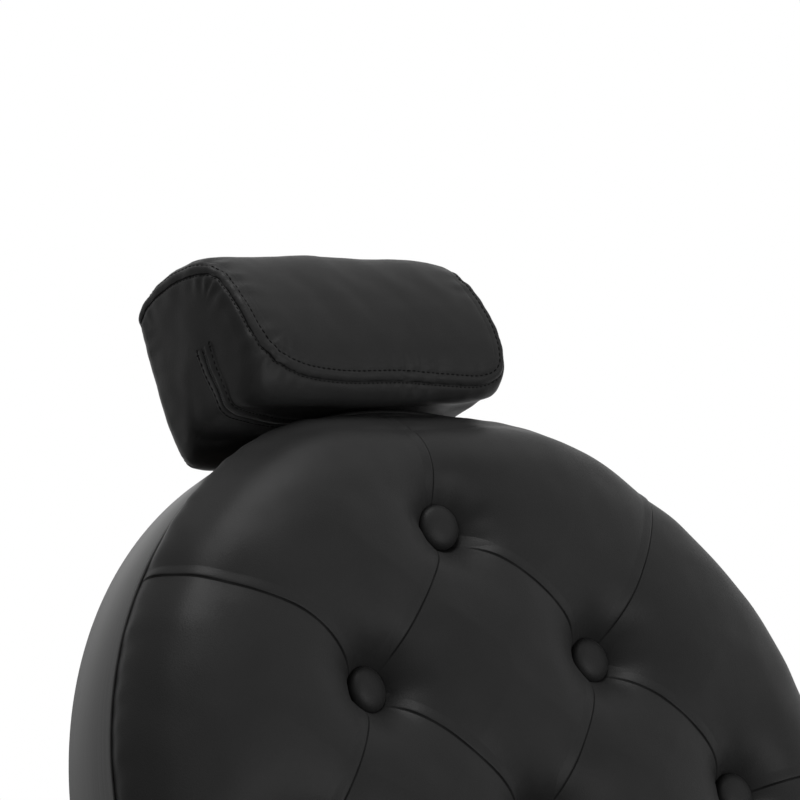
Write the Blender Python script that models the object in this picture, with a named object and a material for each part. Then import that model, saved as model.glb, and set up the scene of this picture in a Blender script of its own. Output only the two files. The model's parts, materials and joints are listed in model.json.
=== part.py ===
"""A barber chair with a round tufted back, as separate pieces on their joint axes.

The frame stands on the floor under the pump: +Z is up, the sitter faces -Y and +X is the sitter's left.
Every joint has an empty on its axis, and the pieces that move with it hang from that empty.
"""

import math

import bmesh
import bpy

# Fits and round pieces
FIT = 0.0003  # gap between two pieces that sit on one another
SEGMENTS = 24  # sides of a round piece
SMALL_SEGMENTS = 16  # sides of a small pin or hole
RIM_SEGMENTS = 64  # sides of the back's rim
BASE_SEGMENTS = 36  # sides of the base
ARC_STEPS = 8  # steps in the round end of a bar

# Base and pump
BASE_RADIUS = 0.310
BASE_T = 0.010
COVER_T = 0.0025
COVER_OVERHANG = 0.014  # base cover beyond the base disc
COVER_RISE = 0.022
STRIP_T = 0.006
FLANGE_T = 0.014
FLANGE_WIDTH = 0.029
HOUSING_HEIGHT = 0.290
HOUSING_WALL = 0.026
RAM_RADIUS = 0.030
RAM_SHOWN = 0.036  # chrome seen between the pump and the seat when it is down
BUSH_T = 0.009
BUSH_DEPTH = 0.034
BUSH_LIP = 0.008
LIFT_TRAVEL = 0.160

# Pedal
PEDAL_LENGTH = 0.235
PEDAL_DROP = 0.028
PEDAL_RISE = 0.108  # pedal pivot above the base disc
PEDAL_BAR_RADIUS = 0.010
PEDAL_WIDTH = 0.024
PEDAL_PIN_RADIUS = 0.005
PLUNGER_REACH = 0.033  # pedal pivot to the plunger's axis
PLUNGER_RADIUS = 0.008
PLUNGER_PLAY = 0.0008

# Swivel and seat
SPIGOT_RADIUS = 0.024
SPIGOT_LENGTH = 0.040
WASHER_T = 0.006
HUB_WALL = 0.021
HUB_HEIGHT = 0.040
BRACKET_T = 0.008
BEAM_WIDTH = 0.040
PAN_T = 0.015
SEAT_HALF_WIDTH = 0.245
SEAT_HALF_DEPTH = 0.220
SEAT_Y = -0.020  # middle of the seat, from the pump's axis
SEAT_BAND_T = 0.0025
SEAT_BAND_HEIGHT = 0.040
SEAT_CUSHION_HEIGHT = 0.085
SEAT_CROWN = 0.016
SEAT_ROUNDING = 7.0  # exponent of the seat's outline

# Side plates and arms
SIDE_GAP = 0.019  # seat band to side plate
SIDE_T = 0.010
ARM_RISE = 0.255  # arm rail above the seat pan
ARM_Y = 0.035
ARM_HALF_LENGTH = 0.180
ARM_HALF_WIDTH = 0.033
ARM_PAD_HEIGHT = 0.040
RAIL_T = 0.006

# Recline and legrest linkage
RAKE = math.radians(26.0)  # the back's lean at rest
PIVOT_Y = 0.275
PIVOT_RISE = 0.060  # back pivot above the seat pan's underside
SHAFT_RADIUS = 0.0125
PIVOT_BUSH_T = 0.004
CAP_RADIUS = 0.031
CRANK_LENGTH = 0.100
CRANK_X = 0.085
CRANK_T = 0.012
CRANK_PIN_RADIUS = 0.006
LINK_T = 0.008
LINK_RADIUS = 0.012
LEGREST_Y = -0.270
LEGREST_DROP = 0.0155  # legrest pivot below the seat pan
LEGREST_LEAN = math.radians(25.0)
LEGREST_LENGTH = 0.250
LEGREST_BAR_RADIUS = 0.015
LEGREST_BAR_T = 0.012
LEGREST_BAR_X = 0.200
LEGREST_SHAFT_RADIUS = 0.010
CALF_HALF_WIDTH = 0.205
CALF_HALF_HEIGHT = 0.058
CALF_T = 0.046
FOOT_DEPTH = 0.165
FOOT_T = 0.010
FOOT_RIB = 0.003
FOOT_RIBS = 8

# Gas spring
GAS_CRANK_LENGTH = 0.085
GAS_CRANK_BACK = math.radians(18.0)  # crank's lean at rest, so that it hangs straight in mid recline
GAS_ANCHOR_Y = -0.140
GAS_ANCHOR_DROP = 0.0275  # anchor pin below the seat bracket
GAS_RADIUS = 0.011
GAS_ROD_RADIUS = 0.005
GAS_SLOT = 0.0065  # play of the rod's slotted eye on the crank's pin

# Back
BACK_RADIUS = 0.280
BACK_GAP = 0.050  # back pivot to the lower rim
BAND_T = 0.003
BAND_DEPTH = 0.047
BAND_LIP = 0.002  # band in front of the back's face plane
BOARD_T = 0.015
CUSHION_CROWN = 0.070
CUSHION_SHOULDER = 0.045
CUSHION_INSET = 0.018
CUSHION_CELLS = 21
BUTTON_PITCH_X = 0.182
BUTTON_PITCH_Z = 0.100
BUTTON_TOP = 0.187  # first button above the back's centre
BUTTON_RADIUS = 0.0126
BUTTON_SEAT = 0.030
BUTTON_HEIGHT = 0.010
PIT_DEPTH = 0.034
PIT_WIDTH = 0.030
PLEAT_DEPTH = 0.013
PLEAT_WIDTH = 0.014
PANEL_T = 0.020
PANEL_MARGIN = 0.030
STRAP_X = 0.140
STRAP_WIDTH = 0.040
STRAP_T = 0.008
STRAP_BOSS_WALL = 0.010

# Headrest
HEAD_HALF_WIDTH = 0.098
HEAD_FRONT = 0.036  # reach in front of the back's face plane
HEAD_REAR = 0.074
HEAD_TOP = 0.112  # above the rim
HEAD_LIFT = 0.0045
HEAD_OVERHANG = 0.013  # rear edge below the rim's top
BAR_WIDTH = 0.040
BAR_T = 0.008
BAR_SETBACK = 0.088  # bar's middle behind the back's face plane
BAR_LENGTH = 0.285
GUIDE_WALL = 0.012
GUIDE_LENGTH = 0.090
GUIDE_TOP = 0.150  # guide's upper end above the back's centre
KNUCKLE_RADIUS = 0.009
KNUCKLE_WIDTH = 0.020
TILT_PIN_RADIUS = 0.004
PLATE_T = 0.003
KNOB_RADIUS = 0.022
KNOB_T = 0.018
KNOB_LOBES = 5
KNOB_STEM = 0.005

# Recline lever
LEVER_Y = 0.060
LEVER_DROP = 0.005  # lever pivot below the seat pan's top
LEVER_LENGTH = 0.085
LEVER_ROD = 0.075
LEVER_ROD_RADIUS = 0.005
LEVER_T = 0.008
LEVER_STUB_RADIUS = 0.006
LEVER_STANDOFF = 0.010  # collar between the side plate and the lever
GRIP_RADIUS = 0.012

# Heights that follow from the stack on the pump
FLANGE_Z = BASE_T + FIT
HOUSING_TOP = FLANGE_Z + HOUSING_HEIGHT
SHOULDER_Z = HOUSING_TOP + BUSH_LIP + RAM_SHOWN
HUB_Z = SHOULDER_Z + WASHER_T + 2.0 * FIT
BRACKET_Z = HUB_Z + HUB_HEIGHT + FIT
PAN_Z = BRACKET_Z + BRACKET_T + FIT
SEAT_Z = PAN_Z + PAN_T + FIT
PIVOT_Z = PAN_Z + PIVOT_RISE
LEGREST_Z = PAN_Z - LEGREST_DROP
ARM_Z = PAN_Z + ARM_RISE
SIDE_X = SEAT_HALF_WIDTH + SIDE_GAP  # inner face of a side plate
BACK_RISE = BACK_GAP + BACK_RADIUS  # back pivot to the back's centre
BOARD_Y = BAND_DEPTH - BAND_LIP - BOARD_T
PANEL_Y = BAND_DEPTH - BAND_LIP + FIT
PANEL_REAR = PANEL_Y + PANEL_T
TILT_Z = BACK_RISE + BACK_RADIUS + 0.002

IN_XZ = (math.pi / 2, 0.0, 0.0)  # outline drawn in X and Z, depth along Y
IN_YZ = (math.pi / 2, 0.0, math.pi / 2)  # outline drawn in Y and Z, depth along X
ALONG_X = (0.0, math.pi / 2, 0.0)
ALONG_Y = (-math.pi / 2, 0.0, 0.0)


def clear_scene():
    """Empty the scene and drop the data that no object uses."""
    for obj in list(bpy.data.objects):
        bpy.data.objects.remove(obj)
    for mesh in list(bpy.data.meshes):
        bpy.data.meshes.remove(mesh)


def material(name, colour, roughness, metallic=0.0):
    """One plain Principled material."""
    result = bpy.data.materials.new(name)
    result.use_nodes = True
    shader = result.node_tree.nodes["Principled BSDF"]
    shader.inputs["Base Color"].default_value = (*colour, 1.0)
    shader.inputs["Roughness"].default_value = roughness
    shader.inputs["Metallic"].default_value = metallic
    return result


def axis(name, location, rotation=(0.0, 0.0, 0.0), parent=None):
    """An empty on a joint's axis."""
    empty = bpy.data.objects.new(name, None)
    bpy.context.collection.objects.link(empty)
    empty.parent = parent
    empty.location = location
    empty.rotation_euler = rotation
    return empty


def place(name, bm, finish, parent=None, location=(0.0, 0.0, 0.0), rotation=(0.0, 0.0, 0.0)):
    """Turn a bmesh into a named object with its normals facing out."""
    bmesh.ops.remove_doubles(bm, verts=bm.verts[:], dist=1e-6)
    bmesh.ops.recalc_face_normals(bm, faces=bm.faces[:])
    mesh = bpy.data.meshes.new(name)
    bm.to_mesh(mesh)
    bm.free()
    mesh.polygons.foreach_set("use_smooth", [True] * len(mesh.polygons))
    mesh.set_sharp_from_angle(angle=math.radians(35.0))
    obj = bpy.data.objects.new(name, mesh)
    bpy.context.collection.objects.link(obj)
    if finish is not None:
        mesh.materials.append(finish)
    obj.parent = parent
    obj.location = location
    obj.rotation_euler = rotation
    return obj


def turned(profile, segments=SEGMENTS):
    """A solid spun about Z from (radius, height) points, closed on the axis or as a ring."""
    bm = bmesh.new()
    verts = [bm.verts.new((radius, 0.0, height)) for radius, height in profile]
    chain = list(zip(verts, verts[1:]))
    if profile[0][0] > 0.0:
        chain.append((verts[-1], verts[0]))
    edges = [bm.edges.new(pair) for pair in chain]
    bmesh.ops.spin(
        bm, geom=verts + edges, cent=(0, 0, 0), axis=(0, 0, 1), angle=math.tau, steps=segments, use_merge=True
    )
    return bm


def rod(radius, length, segments=SEGMENTS):
    """A plain cylinder about Z, centred on the origin."""
    half = length / 2
    return turned([(0.0, half), (radius, half), (radius, -half), (0.0, -half)], segments)


def extruded(loops, depth):
    """A plate from an outline and its holes, drawn in X and Y, with its depth centred on Z."""
    bm = bmesh.new()
    edges = []
    for loop in loops:
        verts = [bm.verts.new((a, b, -depth / 2)) for a, b in loop]
        edges += [bm.edges.new((verts[i - 1], verts[i])) for i in range(len(verts))]
    bmesh.ops.triangle_fill(bm, use_beauty=True, use_dissolve=False, edges=edges, normal=(0, 0, 1))
    grown = bmesh.ops.extrude_face_region(bm, geom=bm.faces[:])
    raised = [item for item in grown["geom"] if isinstance(item, bmesh.types.BMVert)]
    bmesh.ops.translate(bm, verts=raised, vec=(0.0, 0.0, depth))
    return bm


def lofted(rings):
    """A closed skin over rings of equal count; a ring of one point is a pole."""
    bm = bmesh.new()
    rows = [[bm.verts.new(point) for point in ring] for ring in rings]
    for low, high in zip(rows, rows[1:]):
        count = max(len(low), len(high))
        for i in range(count):
            j = (i + 1) % count
            corners = [low[i % len(low)], low[j % len(low)], high[j % len(high)], high[i % len(high)]]
            bm.faces.new(list(dict.fromkeys(corners)))
    return bm


def block(size, bevel=0.0, segments=2):
    """A box centred on the origin, with its edges rounded."""
    bm = bmesh.new()
    bmesh.ops.create_cube(bm, size=1.0)
    bmesh.ops.scale(bm, vec=size, verts=bm.verts[:])
    if bevel > 0.0:
        bmesh.ops.bevel(
            bm, geom=bm.edges[:], offset=bevel, segments=segments, profile=0.5, affect="EDGES", clamp_overlap=True
        )
    return bm


def bore(radius, segments=SEGMENTS):
    """Radius of a faceted hole in which a round piece of the given radius turns freely."""
    return (radius + FIT) / math.cos(math.pi / segments)


def arc(centre, radius, start, end, steps):
    """Points along an arc, both ends included."""
    turns = [start + (end - start) * i / steps for i in range(steps + 1)]
    return [(centre[0] + radius * math.cos(a), centre[1] + radius * math.sin(a)) for a in turns]


def circle(centre, radius, steps=SEGMENTS):
    """Points round a full circle."""
    return arc(centre, radius, 0.0, math.tau, steps)[:-1]


def bar_outline(start, start_radius, end, end_radius):
    """Outline of a tapered bar with two round ends."""
    heading = math.atan2(end[1] - start[1], end[0] - start[0])
    span = math.dist(start, end)
    swing = math.acos((start_radius - end_radius) / span)
    far = arc(end, end_radius, heading - swing, heading + swing, ARC_STEPS)
    near = arc(start, start_radius, heading + swing, heading + math.tau - swing, ARC_STEPS)
    return far + near


def spline(points, steps, closed=False):
    """A smooth run through control points."""
    count = len(points)
    last = count if closed else count - 1
    result = []
    for i in range(last):
        if closed:
            before, here, there, after = (points[(i + k) % count] for k in (-1, 0, 1, 2))
        else:
            before, here, there, after = (points[min(max(i + k, 0), count - 1)] for k in (-1, 0, 1, 2))
        for step in range(steps):
            t = step / steps
            result.append(
                tuple(
                    0.5 * (2 * q + (r - p) * t + (2 * p - 5 * q + 4 * r - s) * t**2 + (3 * q - p - 3 * r + s) * t**3)
                    for p, q, r, s in zip(before, here, there, after)
                )
            )
    if not closed:
        result.append(points[-1])
    return result


def rounded(half_a, half_b, power, count):
    """Points round a rectangle with soft corners."""
    result = []
    for i in range(count):
        turn = math.tau * (i + 0.5) / count
        a, b = math.cos(turn), math.sin(turn)
        result.append(
            (
                half_a * math.copysign(abs(a) ** (2.0 / power), a),
                half_b * math.copysign(abs(b) ** (2.0 / power), b),
            )
        )
    return result


def helper(obj):
    """Hide a piece that only shapes another one."""
    obj.hide_render = True
    obj.display_type = "WIRE"
    return obj


def combine(target, operation, others):
    """Join hidden shapes to a piece, or cut them out of it."""
    for other in others:
        modifier = target.modifiers.new(other.name, "BOOLEAN")
        modifier.operation = operation
        modifier.solver = "EXACT"
        modifier.object = helper(other)
    return target


def pad_rings(half_a, half_b, power, count, steps, crown):
    """Rings of an upholstered block: stated (offset, height) steps, then a crown up to the middle."""
    rings = [[(0.0, 0.0, steps[0][1])]]
    for offset, height in steps:
        rings.append([(a, b, height) for a, b in rounded(half_a + offset, half_b + offset, power, count)])
    offset, height = steps[-1]
    for share in (0.86, 0.62, 0.32):
        rise = height + crown * (1.0 - share**2.6)
        edge = rounded((half_a + offset) * share, (half_b + offset) * share, power * share + 2.0 * (1 - share), count)
        rings.append([(a, b, rise) for a, b in edge])
    rings.append([(0.0, 0.0, height + crown)])
    return rings


def offset_curve(points, distance):
    """Shift a run of (radius, height) points to its right-hand side."""
    result = []
    for i, (radius, height) in enumerate(points):
        ahead = points[min(i + 1, len(points) - 1)]
        behind = points[max(i - 1, 0)]
        run, climb = ahead[0] - behind[0], ahead[1] - behind[1]
        length = math.hypot(run, climb)
        result.append((radius + distance * climb / length, height - distance * run / length))
    return result


clear_scene()

BLACK_VINYL = material("black_vinyl", (0.022, 0.022, 0.023), 0.42)
BRUSHED = material("brushed_steel", (0.30, 0.30, 0.30), 0.36, 1.0)
CHROME = material("chrome", (0.80, 0.80, 0.81), 0.08, 1.0)
STEEL = material("black_steel", (0.03, 0.03, 0.03), 0.45, 0.6)
CAST = material("cast_aluminium", (0.55, 0.55, 0.56), 0.35, 1.0)
RUBBER = material("rubber", (0.02, 0.02, 0.02), 0.7)
WOOD = material("plywood", (0.52, 0.38, 0.22), 0.6)
BRONZE = material("bronze", (0.58, 0.42, 0.20), 0.35, 1.0)
PLASTIC = material("black_plastic", (0.025, 0.025, 0.025), 0.4)

LIFT = axis("lift_axis", (0.0, 0.0, 0.0))
SWIVEL = axis("swivel_axis", (0.0, 0.0, 0.0), parent=LIFT)
RECLINE = axis("recline_axis", (0.0, PIVOT_Y, PIVOT_Z), (-RAKE, 0.0, 0.0), SWIVEL)
HEAD_SLIDE = axis("headrest_slide_axis", (0.0, BAR_SETBACK, BACK_RISE), parent=RECLINE)
HEAD_TILT = axis("headrest_tilt_axis", (0.0, 0.0, TILT_Z - BACK_RISE), parent=HEAD_SLIDE)
LEGREST = axis("legrest_axis", (0.0, LEGREST_Y, LEGREST_Z), (-LEGREST_LEAN, 0.0, 0.0), SWIVEL)
FOOT = axis("footplate_axis", (0.0, 0.0, -LEGREST_LENGTH), (LEGREST_LEAN, 0.0, 0.0), LEGREST)
LEVER = axis("lever_axis", (-SIDE_X, LEVER_Y, SEAT_Z - LEVER_DROP), parent=SWIVEL)


def build_base():
    """Base disc, spun cover, edge strip and the pump with its pedal."""
    disc = [(0.0, BASE_T), (BASE_RADIUS - 0.002, BASE_T), (BASE_RADIUS, BASE_T - 0.002), (BASE_RADIUS, 0.0), (0.0, 0.0)]
    place("base_disc", turned(disc, BASE_SEGMENTS), STEEL)

    outer_radius = BASE_RADIUS + COVER_OVERHANG
    flange_radius = RAM_RADIUS + HOUSING_WALL + FLANGE_WIDTH
    collar = flange_radius + 2.0 * FIT
    edge_z = BASE_T + COVER_T - 0.0002
    skin = [(outer_radius, FIT), (outer_radius, edge_z - 0.004), (outer_radius - 0.003, edge_z)]
    for i in range(1, 6):
        t = i / 5
        skin.append((outer_radius - 0.003 + (collar - outer_radius + 0.003) * t, edge_z + COVER_RISE * t**1.5))
    place("base_cover", turned(skin + offset_curve(skin, -COVER_T)[::-1], BASE_SEGMENTS), CHROME)

    inner, outer = outer_radius + FIT, outer_radius + STRIP_T
    strip = [(inner, 0.0), (outer, 0.0), (outer, edge_z - 0.007), (outer - 0.002, edge_z - 0.005), (inner, edge_z - 0.005)]
    place("base_edge_strip", turned(strip, BASE_SEGMENTS), RUBBER)

    housing_radius = RAM_RADIUS + HOUSING_WALL
    bush_radius = RAM_RADIUS + BUSH_T
    ram_bore = bore(RAM_RADIUS) + 0.002
    floor_z = FLANGE_Z + FLANGE_T + 0.006
    bush_z = HOUSING_TOP - BUSH_DEPTH
    shell = [
        (0.0, FLANGE_Z),
        (flange_radius, FLANGE_Z),
        (flange_radius, FLANGE_Z + FLANGE_T),
        (housing_radius + 0.004, FLANGE_Z + FLANGE_T),
        (housing_radius, FLANGE_Z + FLANGE_T + 0.004),
        (housing_radius, HOUSING_TOP - 0.004),
        (housing_radius - 0.004, HOUSING_TOP),
        (bush_radius + FIT, HOUSING_TOP),
        (bush_radius + FIT, bush_z),
        (ram_bore, bush_z),
        (ram_bore, floor_z),
        (0.0, floor_z),
    ]
    housing = place("pump_housing", turned(shell), STEEL)

    pivot_x = housing_radius + 0.016
    pivot_z = BASE_T + PEDAL_RISE
    lean = math.atan2(PEDAL_DROP, PEDAL_LENGTH)
    plunger_x = pivot_x + PLUNGER_REACH
    below = PEDAL_BAR_RADIUS + PLUNGER_PLAY + PLUNGER_RADIUS
    dome_z = pivot_z - (below + PLUNGER_REACH * math.sin(lean)) / math.cos(lean)
    barrel_low = FLANGE_Z + FLANGE_T + COVER_RISE
    barrel_top = dome_z - 0.014
    lug_t = 0.008
    lug_y = PEDAL_WIDTH / 2 + FIT + lug_t / 2
    lug_outline = bar_outline((housing_radius - 0.012, pivot_z - 0.014), 0.016, (pivot_x, pivot_z), 0.013)
    lugs = [
        place(f"pedal_lug_{side}", extruded([lug_outline], lug_t), None, None, (0.0, sign * lug_y, 0.0), IN_XZ)
        for side, sign in (("front", -1), ("rear", 1))
    ]
    barrel_height = barrel_top - barrel_low
    barrel_mid = (barrel_top + barrel_low) / 2
    web_start = housing_radius - 0.010
    web = place(
        "barrel_web",
        block((plunger_x - web_start, 0.020, barrel_height - 0.006)),
        None,
        None,
        ((plunger_x + web_start) / 2, 0.0, barrel_mid),
    )
    barrel = place(
        "barrel", rod(PLUNGER_RADIUS + 0.007, barrel_height, SMALL_SEGMENTS), None, None, (plunger_x, 0.0, barrel_mid)
    )
    combine(housing, "UNION", lugs + [web, barrel])
    pin_hole = place(
        "pedal_pin_hole",
        rod(bore(PEDAL_PIN_RADIUS, SMALL_SEGMENTS), 4 * lug_y, SMALL_SEGMENTS),
        None,
        None,
        (pivot_x, 0.0, pivot_z),
        ALONG_Y,
    )
    plunger_bore = place(
        "plunger_bore",
        rod(bore(PLUNGER_RADIUS, SMALL_SEGMENTS), barrel_height, SMALL_SEGMENTS),
        None,
        None,
        (plunger_x, 0.0, barrel_mid + 0.004),
    )
    combine(housing, "DIFFERENCE", [pin_hole, plunger_bore])

    lip_radius = bush_radius + 0.008
    bush_bore = bore(RAM_RADIUS)
    lip_z = HOUSING_TOP + FIT
    bush = [
        (bush_bore, bush_z + FIT),
        (bush_radius, bush_z + FIT),
        (bush_radius, lip_z),
        (lip_radius, lip_z),
        (lip_radius, lip_z + BUSH_LIP - 0.003),
        (lip_radius - 0.003, lip_z + BUSH_LIP - 2.0 * FIT),
        (bush_bore, lip_z + BUSH_LIP - 2.0 * FIT),
    ]
    place("guide_bush", turned(bush), BRONZE)

    pedal = axis("pedal_axis", (pivot_x, 0.0, pivot_z))
    place(
        "pedal_pin",
        rod(PEDAL_PIN_RADIUS, 2 * lug_y + lug_t + 0.004, SMALL_SEGMENTS),
        CHROME,
        None,
        (pivot_x, 0.0, pivot_z),
        ALONG_Y,
    )
    lever_loops = [
        bar_outline((0.0, 0.0), PEDAL_BAR_RADIUS, (PEDAL_LENGTH, -PEDAL_DROP), PEDAL_BAR_RADIUS),
        circle((0.0, 0.0), bore(PEDAL_PIN_RADIUS, SMALL_SEGMENTS), SMALL_SEGMENTS),
    ]
    place("pedal_lever", extruded(lever_loops, PEDAL_WIDTH), CHROME, pedal, (0.0, 0.0, 0.0), IN_XZ)
    pad_size = (0.056, 0.092, 0.014)
    along = math.hypot(PEDAL_LENGTH, PEDAL_DROP) - 0.018
    above = PEDAL_BAR_RADIUS + FIT + pad_size[2] / 2
    pad_x = along * math.cos(lean) + above * math.sin(lean)
    pad_z = above * math.cos(lean) - along * math.sin(lean)
    place("pedal_pad", block(pad_size, 0.005), RUBBER, pedal, (pad_x, 0.0, pad_z), (0.0, lean, 0.0))

    plunger = axis("plunger_axis", (plunger_x, 0.0, 0.0))
    foot = barrel_low + 0.018
    dome = arc((0.0, dome_z), PLUNGER_RADIUS, math.pi / 2, 0.0, 4)
    dome[0] = (0.0, dome[0][1])
    place("pump_plunger", turned(dome + [(PLUNGER_RADIUS, foot), (0.0, foot)], SMALL_SEGMENTS), CHROME, plunger)


def build_ram():
    """The lifting ram and the washer that the seat turns on."""
    low = FLANGE_Z + FLANGE_T + 0.010
    top = SHOULDER_Z + SPIGOT_LENGTH
    ram = [
        (0.0, top),
        (SPIGOT_RADIUS - 0.003, top),
        (SPIGOT_RADIUS, top - 0.003),
        (SPIGOT_RADIUS, SHOULDER_Z),
        (RAM_RADIUS, SHOULDER_Z),
        (RAM_RADIUS, low),
        (0.0, low),
    ]
    place("ram", turned(ram), CHROME, LIFT)
    inner, outer = bore(SPIGOT_RADIUS), RAM_RADIUS + 0.006
    low, high = SHOULDER_Z + FIT, SHOULDER_Z + FIT + WASHER_T
    place("thrust_washer", turned([(inner, low), (outer, low), (outer, high), (inner, high)]), BRONZE, LIFT)


def side_plate(side, sign):
    """One side plate with its pivot holes and the arm rail welded on top."""
    mid_x = sign * (SIDE_X + SIDE_T / 2)
    front = (LEGREST_Y, LEGREST_Z)
    rear = (PIVOT_Y, PIVOT_Z)
    boss = LEGREST_SHAFT_RADIUS + 0.021
    rear_boss = SHAFT_RADIUS + PIVOT_BUSH_T + 0.022
    waist_z = (PIVOT_Z + ARM_Z) / 2
    outline = spline(
        [
            (ARM_Y - 0.085, ARM_Z),
            (ARM_Y - 0.040, waist_z + 0.030),
            (ARM_Y - 0.042, PIVOT_Z + 0.030),
            (ARM_Y - 0.115, PAN_Z + 0.030),
            (front[0] + 0.060, front[1] + 0.040),
            (front[0], front[1] + boss),
            (front[0] - boss, front[1]),
            (front[0], front[1] - boss),
            (front[0] + 0.080, front[1] - 0.030),
            (SEAT_Y + 0.080, BRACKET_Z - 0.030),
            (rear[0] - 0.080, rear[1] - 0.060),
            (rear[0], rear[1] - rear_boss),
            (rear[0] + rear_boss, rear[1]),
            (rear[0], rear[1] + rear_boss),
            (rear[0] - 0.080, rear[1] + 0.036),
            (ARM_Y + 0.075, waist_z),
            (ARM_Y + 0.110, ARM_Z),
        ],
        4,
    )
    loops = [
        outline,
        circle(front, bore(LEGREST_SHAFT_RADIUS)),
        circle(rear, SHAFT_RADIUS + PIVOT_BUSH_T + 2.0 * FIT),
    ]
    if sign < 0:
        loops.append(circle((LEVER_Y, SEAT_Z - LEVER_DROP), bore(LEVER_STUB_RADIUS, SMALL_SEGMENTS), SMALL_SEGMENTS))
    plate = place(f"side_plate_{side}", extruded(loops, SIDE_T), BRUSHED, SWIVEL, (mid_x, 0.0, 0.0), IN_YZ)
    rail = place(
        f"arm_rail_{side}",
        block((2 * ARM_HALF_WIDTH - 0.016, 2 * ARM_HALF_LENGTH - 0.030, RAIL_T)),
        None,
        SWIVEL,
        (mid_x, ARM_Y, ARM_Z + RAIL_T / 2 - 0.002),
    )
    combine(plate, "UNION", [rail])
    steps = [
        (-0.006, 0.0),
        (0.0, 0.006),
        (0.0, 0.55 * ARM_PAD_HEIGHT),
        (-0.004, 0.78 * ARM_PAD_HEIGHT),
        (-0.012, 0.92 * ARM_PAD_HEIGHT),
    ]
    rings = pad_rings(ARM_HALF_WIDTH, ARM_HALF_LENGTH, 4.0, 24, steps, 0.08 * ARM_PAD_HEIGHT)
    place(f"arm_pad_{side}", lofted(rings), BLACK_VINYL, SWIVEL, (mid_x, ARM_Y, ARM_Z + RAIL_T - 0.002 + FIT))
    inner, outer = bore(SHAFT_RADIUS), SHAFT_RADIUS + PIVOT_BUSH_T
    half = SIDE_T / 2
    ring = [(inner, -half), (outer, -half), (outer, half), (inner, half)]
    place(f"pivot_bush_{side}", turned(ring), BRONZE, SWIVEL, (mid_x, PIVOT_Y, PIVOT_Z), ALONG_X)


def build_seat():
    """Swivel hub, bracket, pan, band, cushion, side plates with arms, and the gas cylinder."""
    hub_bore = bore(SPIGOT_RADIUS)
    hub_radius = SPIGOT_RADIUS + HUB_WALL
    hub_top = HUB_Z + HUB_HEIGHT
    roof = SHOULDER_Z + SPIGOT_LENGTH + 0.001
    hub = [
        (0.0, hub_top),
        (hub_radius + 0.016, hub_top),
        (hub_radius + 0.016, hub_top - 0.010),
        (hub_radius, hub_top - 0.016),
        (hub_radius, HUB_Z),
        (hub_bore, HUB_Z),
        (hub_bore, roof),
        (0.0, roof),
    ]
    place("swivel_hub", turned(hub), STEEL, SWIVEL)

    reach = SIDE_X - FIT
    spine = hub_radius + 0.020
    half_beam = BEAM_WIDTH / 2
    low_y, high_y = GAS_ANCHOR_Y, SEAT_Y + 0.140
    corner = [(spine, low_y + half_beam), (reach, low_y + half_beam), (reach, low_y - half_beam)]
    far = [(reach, high_y + half_beam), (reach, high_y - half_beam), (spine, high_y - half_beam)]
    right = far + corner
    outline = right + [(-x, y) for x, y in reversed(right)]
    bracket = place(
        "seat_bracket", extruded([outline], BRACKET_T), STEEL, SWIVEL, (0.0, 0.0, BRACKET_Z + BRACKET_T / 2)
    )
    gas_x = CRANK_X + CRANK_T + FIT + LINK_T / 2
    anchor_z = BRACKET_Z - GAS_ANCHOR_DROP
    lug_t = 0.008
    lug_x = -(gas_x - LINK_T / 2 - FIT - lug_t / 2)
    lug_loop = bar_outline((GAS_ANCHOR_Y, BRACKET_Z - 0.004), 0.016, (GAS_ANCHOR_Y, anchor_z), 0.012)
    lug = place("gas_lug", extruded([lug_loop], lug_t), None, SWIVEL, (lug_x, 0.0, 0.0), IN_YZ)
    pin_length = LINK_T + lug_t + 0.006
    pin = place(
        "gas_anchor_pin",
        rod(CRANK_PIN_RADIUS, pin_length, SMALL_SEGMENTS),
        None,
        SWIVEL,
        (lug_x + lug_t / 2 - 0.001 - pin_length / 2, GAS_ANCHOR_Y, anchor_z),
        ALONG_X,
    )
    crop = place(
        "gas_lug_crop", block((0.1, 0.1, 0.04)), None, SWIVEL, (lug_x, GAS_ANCHOR_Y, BRACKET_Z + BRACKET_T + 0.02)
    )
    combine(bracket, "UNION", [lug, pin])
    combine(bracket, "DIFFERENCE", [crop])

    inset = SEAT_BAND_T + FIT
    pan = rounded(SEAT_HALF_WIDTH - inset, SEAT_HALF_DEPTH - inset, SEAT_ROUNDING, 40)
    place("seat_pan", extruded([pan], PAN_T), WOOD, SWIVEL, (0.0, SEAT_Y, PAN_Z + PAN_T / 2))
    band = [
        rounded(SEAT_HALF_WIDTH, SEAT_HALF_DEPTH, SEAT_ROUNDING, 40),
        rounded(SEAT_HALF_WIDTH - SEAT_BAND_T, SEAT_HALF_DEPTH - SEAT_BAND_T, SEAT_ROUNDING, 40),
    ]
    band_z = PAN_Z + 0.001
    place(
        "seat_band", extruded(band, SEAT_BAND_HEIGHT), BRUSHED, SWIVEL, (0.0, SEAT_Y, band_z + SEAT_BAND_HEIGHT / 2)
    )
    ledge = band_z + SEAT_BAND_HEIGHT - SEAT_Z
    room = SEAT_CUSHION_HEIGHT - ledge
    steps = [
        (-inset - 0.008, 0.0),
        (-inset, 0.006),
        (-inset, ledge),
        (0.002, ledge + 2.0 * FIT),
        (0.006, ledge + 0.30 * room),
        (0.002, ledge + 0.60 * room),
        (-0.010, ledge + 0.86 * room),
        (-0.024, ledge + room),
    ]
    rings = pad_rings(SEAT_HALF_WIDTH, SEAT_HALF_DEPTH, SEAT_ROUNDING, 40, steps, SEAT_CROWN)
    place("seat_cushion", lofted(rings), BLACK_VINYL, SWIVEL, (0.0, SEAT_Y, SEAT_Z))

    for side, sign in (("left", 1), ("right", -1)):
        side_plate(side, sign)


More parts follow.
